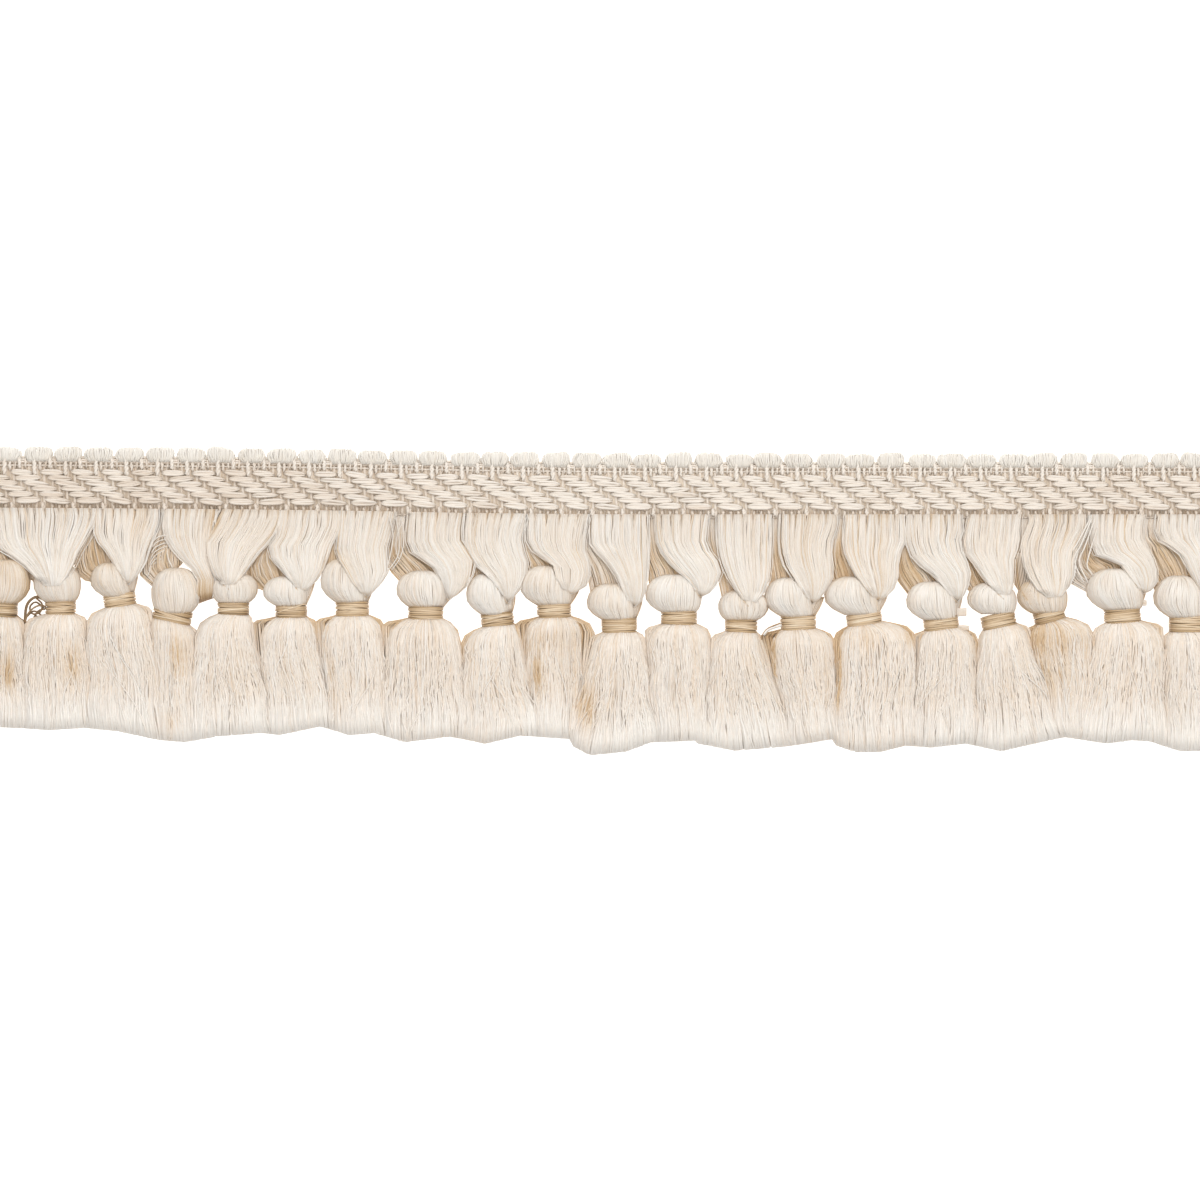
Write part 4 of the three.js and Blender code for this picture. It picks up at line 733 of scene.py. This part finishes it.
def make_tie(t, rng):
    M = Mesh()
    w, h = t["tie"][2] * PX, t["tie"][3] * PX
    a = math.radians(t["tie"][4])
    axis = np.array([-math.sin(a), math.cos(a), 0.0])
    across = np.array([math.cos(a), math.sin(a), 0.0])
    cx, cy = at(t["tie"][0], t["tie"][1])
    turns, n = 7, 21
    phi = np.linspace(-math.pi / 2, 1.5 * math.pi + 0.12, n)

    def hoop(hw, hd, u):
        c = np.sign(np.cos(phi)) * np.abs(np.cos(phi)) ** 0.86
        s = np.sign(np.sin(phi)) * np.abs(np.sin(phi)) ** 0.86
        p = np.array([cx, cy, 0])[None] + across[None] * (hw * c)[:, None] + axis[None] * u[:, None]
        p[:, 2] = TIE_DEPTH / 2 + hd * s
        return p

    r = h / turns / 2 * 1.22
    P, tone, rad = [], [], []
    lit_turn = rng.uniform(2.0, 4.5)
    for q in range(turns):
        up = -h / 2 + (q + 0.5) * h / turns + rng.normal(0, 0.03)
        u = np.clip(up + rng.normal(0, 0.10) * np.cos(phi) + rng.normal(0, 0.06) * np.sin(phi) * np.cos(phi), -h / 2 + r * 0.6, h / 2 - r * 0.6)
        out = 1 + rng.normal(0, 0.008)
        P.append(hoop((w / 2 - r) * out, (TIE_DEPTH / 2 - r) * out, u))
        # painted highlight on the lit turn; painted shade at the ends, where the turns go round the sides, and on the
        # first and last turns
        end = np.abs(np.cos(phi)) ** 3
        lit = max(0.0, 1 - abs(q - lit_turn) / 1.6)
        tone.append(0.58 + t.get("tie_tone", 0) + 0.26 * lit * (1 - end) + rng.normal(0, 0.07) - 0.30 * end - (0.12 if q in (0, turns - 1) else 0))
        rad.append(r * rng.uniform(0.92, 1.08))
    M.tubes(np.array(P), np.array(rad), 5, np.array(tone), rng.random(len(P)), ref=np.broadcast_to(axis, (len(P), n, 3)))
    # fine turns that lie a little across the winding
    P, tone, rad = [], [], []
    for q in range(3):
        u = np.clip(rng.normal(0, 0.2) * h + rng.normal(0, 0.12) * h * np.cos(phi), -h / 2 + 0.15, h / 2 - 0.15)
        P.append(hoop(w / 2 - 0.05, TIE_DEPTH / 2 - 0.02, u))
        # painted shade at the ends of the fine turns, where they go round the sides
        tone.append(rng.uniform(0.6, 0.95) - 0.2 * np.abs(np.cos(phi)) ** 3)
        rad.append(rng.uniform(0.08, 0.12))
    M.tubes(np.array(P), np.array(rad), 4, np.array(tone), rng.random(len(P)), ref=np.broadcast_to(axis, (len(P), n, 3)))
    # a dark core under the turns: painted shade seen between them
    g = np.linspace(0, 2 * np.pi, 16, endpoint=False)
    M.skin([[[*(np.array([cx, cy]) + across[:2] * ((w / 2 - r * 1.4) * math.cos(x)) + axis[:2] * up),
              TIE_DEPTH / 2 + (TIE_DEPTH / 2 - r * 1.4) * math.sin(x)] for x in g] for up in (-h / 2 + 0.1, -h / 4, h / 4, h / 2 - 0.1)], tone=0.3)
    return M


for i, t in enumerate(TASSELS):
    rng = np.random.default_rng(4100 + i)
    o = make_tassel(t, TASSELS[i - 1] if i else None, rng).build("yarn_" + t["n"], [LOCK, YARN])
    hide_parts("tassel_" + t["n"])
    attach(o, "root")
    o = make_tie(t, np.random.default_rng(5200 + i)).build("winding_" + t["n"], [THREAD])
    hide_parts("tie_" + t["n"])
    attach(o, "root")


# ---------------------------------------------------------------- the braid
rng = np.random.default_rng(77)
END = FLAT_LEN / 2
PITCH = 30.6 * PX


def toward_ends(x):
    """The heading is a little darker towards both ends."""
    return -0.02 + 0.11 * np.cos(2 * np.pi * (np.asarray(x) - 29.0) / 288.0)


# ground web: one thin band
M = Mesh()
rings = []
for x in np.linspace(-END + 0.15, END - 0.15, 160):
    y = lower_edge(x)
    rings.append([[x, y + 0.25, 0.15], [x, y + WEB_H * 0.5, 0.1], [x, y + WEB_H - 0.3, 0.15], [x, y + WEB_H - 0.1, 0.7], [x, y + WEB_H - 0.4, 1.2],
                  [x, y + WEB_H * 0.75, 1.5], [x, y + WEB_H * 0.4, 1.5], [x, y + 0.5, 1.3], [x, y + 0.1, 0.8]])
M.skin(rings, tone=0.75 + 1.3 * toward_ends(np.linspace(-END + 0.15, END - 0.15, 160)))
web = M.build("ground_web", [WEB])


def ply(mesh, points, radius, twist, strands, sides, tone, n, blunt=0.5, flat=0.85):
    """A plied yarn along points (k x n x 3): its strands turn about each other."""
    k = len(points)
    T = np.gradient(points, axis=1)
    T /= np.linalg.norm(T, axis=2, keepdims=True)
    A = np.cross(T, np.array([0, 0, 1.0]))
    A /= np.maximum(np.linalg.norm(A, axis=2, keepdims=True), 1e-9)
    B = np.cross(T, A)
    v = np.linspace(0, 1, n)
    tap = np.interp(v, [0, 0.1, 0.9, 1], [blunt, 1, 1, blunt])
    turn0 = rng.uniform(0, 2 * np.pi, (k, 1))
    tw = twist * rng.uniform(0.7, 1.3, (k, 1))
    for s in range(strands):
        ang = turn0 + 2 * np.pi * (s / strands + tw * v[None, :])
        off = radius * 0.85 * tap[None, :]
        P = points + (np.cos(ang) * off)[..., None] * A + (np.sin(ang) * off * flat)[..., None] * B
        mesh.tubes(P, np.broadcast_to(radius * tap[None, :], (k, n)), sides, tone + rng.normal(0, 0.04, (k, 1)), rng.random(k))


def along_web(px_list):
    x = (np.asarray(px_list, float) - PX0) * PX
    return x[(x > -END + 0.3) & (x < END - 0.3)]


# fine upright threads of the ground, seen between the floats
M = Mesh()
x = along_web(np.arange(-34, 1225, 7.65))
n = 6
v = np.linspace(0, 1, n)
P = np.empty((len(x), n, 3))
P[..., 0] = x[:, None] + rng.normal(0, 0.05, (len(x), n))
P[..., 1] = lower_edge(x)[:, None] + (0.5 + 49 * v[None, :]) * PX
P[..., 2] = 1.42 + rng.normal(0, 0.03, (len(x), n))
P[:, 0, 2] = P[:, -1, 2] = 1.1
M.tubes(P, 0.37, 5, rng.normal(0.74, 0.05, (len(x), 1)) + toward_ends(x)[:, None], rng.random(len(x)))
x2 = along_web(np.arange(-30.2, 1225, 7.65))
P = np.empty((len(x2), n, 3))
P[..., 0] = x2[:, None] + rng.normal(0, 0.05, (len(x2), n))
P[..., 1] = lower_edge(x2)[:, None] + (0.8 + 48 * v[None, :]) * PX
P[..., 2] = 1.28 + rng.normal(0, 0.03, (len(x2), n))
M.tubes(P, 0.3, 4, rng.normal(0.62, 0.05, (len(x2), 1)) + toward_ends(x2)[:, None], rng.random(len(x2)))

# the ladder under the loops: long wrapped uprights, and short ones over each float of the first row
LONG, SHORT = np.arange(308.6 - 30.6 * 12, 1225, 30.6), np.arange(324.0 - 30.6 * 12, 1225, 30.6)


def uprights(px_list, lo, hi, radius, z, twist, tone, n=7, strands=2):
    x = along_web(px_list) + rng.normal(0, 0.06)
    v = np.linspace(0, 1, n)
    P = np.empty((len(x), n, 3))
    P[..., 0] = x[:, None] + rng.normal(0, 0.1, (len(x), 1)) * v[None, :] + rng.normal(0, 0.05, (len(x), 1))
    P[..., 1] = lower_edge(x)[:, None] + (lo + (hi - lo) * v[None, :]) * PX
    P[..., 2] = z + 0.3 * (1 - np.abs(2 * v[None, :] - 1) ** 2.5)
    ply(M, P, radius, twist, strands, 4, tone + toward_ends(x)[:, None], n, blunt=0.7)


uprights(LONG, 36.5, 54.5, 0.30, 1.85, 1.8, 1.06, n=8)
uprights(LONG + 5.4, 41.5, 54.0, 0.22, 1.6, 1.4, 0.94, n=6)
uprights(SHORT, 43.0, 54.0, 0.27, 1.85, 1.4, 1.03, n=6)
uprights(SHORT - 5.0, 43.5, 53.5, 0.18, 1.6, 1.2, 0.88, n=4)
uprights(SHORT + 5.6, 43.5, 53.5, 0.18, 1.6, 1.2, 0.88, n=4)
# lower band: upright threads, with a brighter one at each repeat
uprights(np.arange(-34.4, 1225, 7.65), 1.3, 8.0, 0.2, 1.66, 0.9, 0.68, n=4)
uprights(np.arange(316.0 - 30.6 * 12, 1225, 30.6), 2.2, 9.5, 0.26, 1.78, 1.2, 0.86, n=5)
# edge cords
n = 134
for up, rad, tn, z in ((0.9, 0.2, 0.62, 1.3), (46.6, 0.2, 0.84, 1.5), (49.8, 0.2, 0.74, 1.45), (52.4, 0.3, 0.9, 1.3), (55.2, 0.34, 0.96, 1.15)):
    x = np.linspace(-END + 0.3, END - 0.3, n)
    P = np.stack([x, lower_edge(x) + up * PX, np.full(n, z)], axis=1)[None]
    M.tubes(P, rad, 5, np.array([tn]), rng.random(1))
binding = M.build("binding_threads", [BRAID])

# floats: six rows, each row stepped to the right of the row above
M = Mesh()
ROWS = [(39.7, 325.2, 23.0, 0.275), (34.0, 332.6, 26.0, 0.27), (28.6, 340.6, 26.0, 0.265), (23.3, 348.0, 26.5, 0.26), (17.8, 355.2, 26.5, 0.27),
        (11.8, 362.6, 25.5, 0.31)]
n = 9
for up, px, long, rad in ROWS:
    x = np.arange((px - PX0) * PX - 30 * PITCH, END + PITCH, PITCH)
    v = np.linspace(-0.5, 0.5, n)
    P = np.empty((len(x), n, 3))
    P[..., 0] = x[:, None] + v[None, :] * long * PX * rng.uniform(0.95, 1.07, (len(x), 1)) + rng.normal(0, 0.10, (len(x), 1))
    P[..., 1] = lower_edge(P[..., 0]) + up * PX - v[None, :] * rng.normal(0.25, 0.25, (len(x), 1)) + rng.normal(0, 0.04, (len(x), 1))
    P[..., 2] = 1.62 + 0.75 * (1 - np.abs(2 * v[None, :]) ** 3.2) + rng.normal(0, 0.04, (len(x), 1))
    P = P[(P[:, :, 0].min(axis=1) > -END - 0.1) & (P[:, :, 0].max(axis=1) < END + 0.1)]
    # three strands side by side, turning a little about each other
    T = np.gradient(P, axis=1)
    T /= np.linalg.norm(T, axis=2, keepdims=True)
    A = np.cross(T, np.array([0, 0, 1.0]))
    B = np.cross(T, A)
    tap = np.interp(v, [-0.5, -0.4, -0.25, 0.25, 0.4, 0.5], [0.45, 0.8, 1, 1, 0.8, 0.45])
    k = len(P)
    tn = rng.normal(0.93, 0.05, (k, 1)) + toward_ends(P[:, n // 2, 0])[:, None]
    turn = rng.normal(0, 0.35, (k, 1)) + rng.normal(0.9, 0.5, (k, 1)) * v[None, :]
    for s in range(3):
        ang = turn + s * math.pi / 2
        Q = P + (np.cos(ang) * rad * 1.4 * tap)[..., None] * A + (np.sin(ang) * rad * 0.25 * tap)[..., None] * B
        M.tubes(Q, rad * 0.92 * tap[None, :] * np.ones((k, 1)), 4, tn + rng.normal(0, 0.06, (k, 1)), rng.random(k))
floats = M.build("floats", [BRAID])

# loops of the upper edge: soft, close bunches of pile
M = Mesh()
for c in np.arange(311.5 - 30.55 * 12, 1225, 30.55):
    c += rng.normal(0, 0.7)
    x0 = (c - PX0) * PX
    half = 13.9 * PX * rng.uniform(0.94, 1.04)
    if x0 - half < -END - 1.5 or x0 + half > END + 1.5:
        continue
    y0 = float(lower_edge(x0)) + 52.8 * PX
    tall = 12.4 * PX * rng.uniform(0.93, 1.06)
    lean, round_, tilt = rng.normal(0, 0.15), rng.uniform(4.0, 7.0), rng.normal(0, 0.06)
    n, k = 7, 32
    v = np.array([0, 0.25, 0.5, 0.7, 0.86, 0.96, 1.0])
    fall_in = (1 - v ** 5) ** (1 / 2.2)
    foot = np.interp(v, [0, 0.45, 1], [0.74, 1.0, 1.0])
    u = np.linspace(-1, 1, k) + rng.normal(0, 0.02, k)
    top = (1 - 0.24 * np.abs(u) ** round_ + tilt * u)[:, None]
    P = np.empty((k, n, 3))
    P[..., 0] = x0 + u[:, None] * half * foot[None, :] * (1 - 0.07 * smooth(0.7, 1, v))[None, :] + lean * v[None, :] ** 2 \
        + 0.08 * np.sin(v[None, :] * 6 + rng.uniform(0, 6, (k, 1)))
    P[..., 1] = y0 - 0.4 + (tall * top + 0.4) * v[None, :] * rng.uniform(0.96, 1.03, (k, 1))
    P[..., 2] = 1.25 + 0.95 * np.sqrt(np.clip(1 - (u[:, None] * 0.95) ** 4, 0.1, 1)) * fall_in[None, :] + rng.normal(0, 0.05, (k, 1))
    P[..., 0] = np.clip(P[..., 0], -END, END)
    # painted shade: darker at the foot and at the sides of each loop
    tn = 0.72 + 0.22 * smooth(0.1, 0.7, v)[None, :] - 0.06 * (np.abs(u) ** 4)[:, None] + rng.normal(0, 0.04, (k, 1))
    M.tubes(P, rng.uniform(0.17, 0.25, (k, 1)) * np.ones((1, n)), 3, tn, rng.random(k), phase=rng.uniform(0, 2, k))
    g = np.linspace(0, 2 * np.pi, 14, endpoint=False)
    rings = []
    for q in range(n):
        row = []
        for w in g:
            uu = math.copysign(abs(math.cos(w)) ** 0.6, math.cos(w)) * 0.97
            zz = math.copysign(abs(math.sin(w)) ** 0.7, math.sin(w))
            tp = 1 - 0.24 * abs(uu) ** round_ + tilt * uu
            row.append([float(np.clip(x0 + uu * half * foot[q] * (1 - 0.07 * float(smooth(0.7, 1, v[q]))) + lean * v[q] ** 2, -END, END)),
                        y0 - 0.4 + (tall * tp + 0.25) * v[q] * 0.97, 1.22 + zz * 0.88 * max(fall_in[q], 0.12)])
        rings.append(row)
    # the skin beneath is darker at its foot, as painted shade
    M.skin(rings, tone=np.interp(v, [0, 0.6, 1], [0.55, 0.85, 0.92]))
loops = M.build("loop_edge", [PILE])

for o in (web, floats, binding, loops):
    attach(o, "root")
    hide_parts("heading")

# a few loose brown threads caught between the first ties
M = Mesh()
brown = [
    [(44, 600), (36, 597), (28, 603), (25, 614), (25, 628), (30, 634)],
    [(36, 598), (42, 604), (40, 612), (32, 614), (29, 607), (35, 602), (43, 608)],
    [(45, 609), (38, 611), (33, 618), (31, 627), (26, 633)],
    [(26, 617), (33, 611), (41, 616), (43, 622), (36, 627), (28, 629)],
    [(14, 614), (20, 619), (27, 623), (33, 629), (40, 630)],
    [(25, 637), (29, 630), (36, 628), (43, 624), (50, 625)],
    [(24, 622), (29, 612), (37, 606), (44, 606), (47, 612), (42, 618), (35, 616)],
]
for q, line in enumerate(brown):
    p = spline(pts(*line), 22)
    z = 3.4 + 0.5 * np.sin(np.linspace(0, 5, 22) + q)
    M.tubes(np.column_stack([p, z])[None], 0.21 if q else 0.32, 5, np.array([0.4 + 0.08 * q]), np.array([0.5]))
o = M.build("loose_threads", [BROWN])
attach(o, "root")

# ---------------------------------------------------------------- floor, light, camera
floor = bpy.data.meshes.new("floor")
floor.from_pydata([(-4, -4, 0), (4, -4, 0), (4, 4, 0), (-4, 4, 0)], [], [(0, 1, 2, 3)])
floor_o = bpy.data.objects.new("floor", floor)
bpy.context.scene.collection.objects.link(floor_o)
m = bpy.data.materials.new("floor")
m.use_nodes = True
p = m.node_tree.nodes["Principled BSDF"]
p.inputs["Base Color"].default_value = (0.95, 0.95, 0.95, 1)
p.inputs["Roughness"].default_value = 0.9
p.inputs["Specular IOR Level"].default_value = 0.0
p.inputs["Emission Color"].default_value = (1, 1, 1, 1)
p.inputs["Emission Strength"].default_value = 0.75
floor.materials.append(m)

w = bpy.data.worlds.new("studio")
bpy.context.scene.world = w
w.use_nodes = True
w.node_tree.nodes["Background"].inputs["Color"].default_value = (1.0, 0.995, 0.985, 1)
w.node_tree.nodes["Background"].inputs["Strength"].default_value = 0.74


def area(name, place, aim, size, power, colour=(1, 1, 1)):
    d = bpy.data.lights.new(name, "AREA")
    d.shape, d.size, d.energy, d.color = "DISK", size, power, colour
    o = bpy.data.objects.new(name, d)
    bpy.context.scene.collection.objects.link(o)
    o.location = place
    from mathutils import Vector
    o.rotation_euler = (Vector(aim) - Vector(place)).to_track_quat("-Z", "Y").to_euler()
    return o


area("key", (0.2, 0.6, 0.95), (0, 0, 0), 0.8, 5.0, (1.0, 0.99, 0.97))
area("fill", (-0.5, -0.2, 1.2), (0, 0, 0), 0.9, 1.5)

cam = bpy.data.cameras.new("camera")
cam.lens, cam.sensor_width = 100.0, 36.0
cam.clip_start, cam.clip_end = 0.01, 20
cam_o = bpy.data.objects.new("camera", cam)
bpy.context.scene.collection.objects.link(cam_o)
view_x, view_y = at(600, 600)
cam_o.location = (view_x * 0.001, view_y * 0.001, 0.0040 + 0.254 * 100.0 / 36.0)
cam_o.rotation_euler = (0, 0, 0)
bpy.context.scene.camera = cam_o
bpy.context.scene.view_settings.view_transform = "Standard"

print("TRIANGLES", sum(TRIS.values()), max(TRIS.items(), key=lambda kv: kv[1]), {k: v for k, v in TRIS.items() if not k.startswith(("yarn", "wind"))})
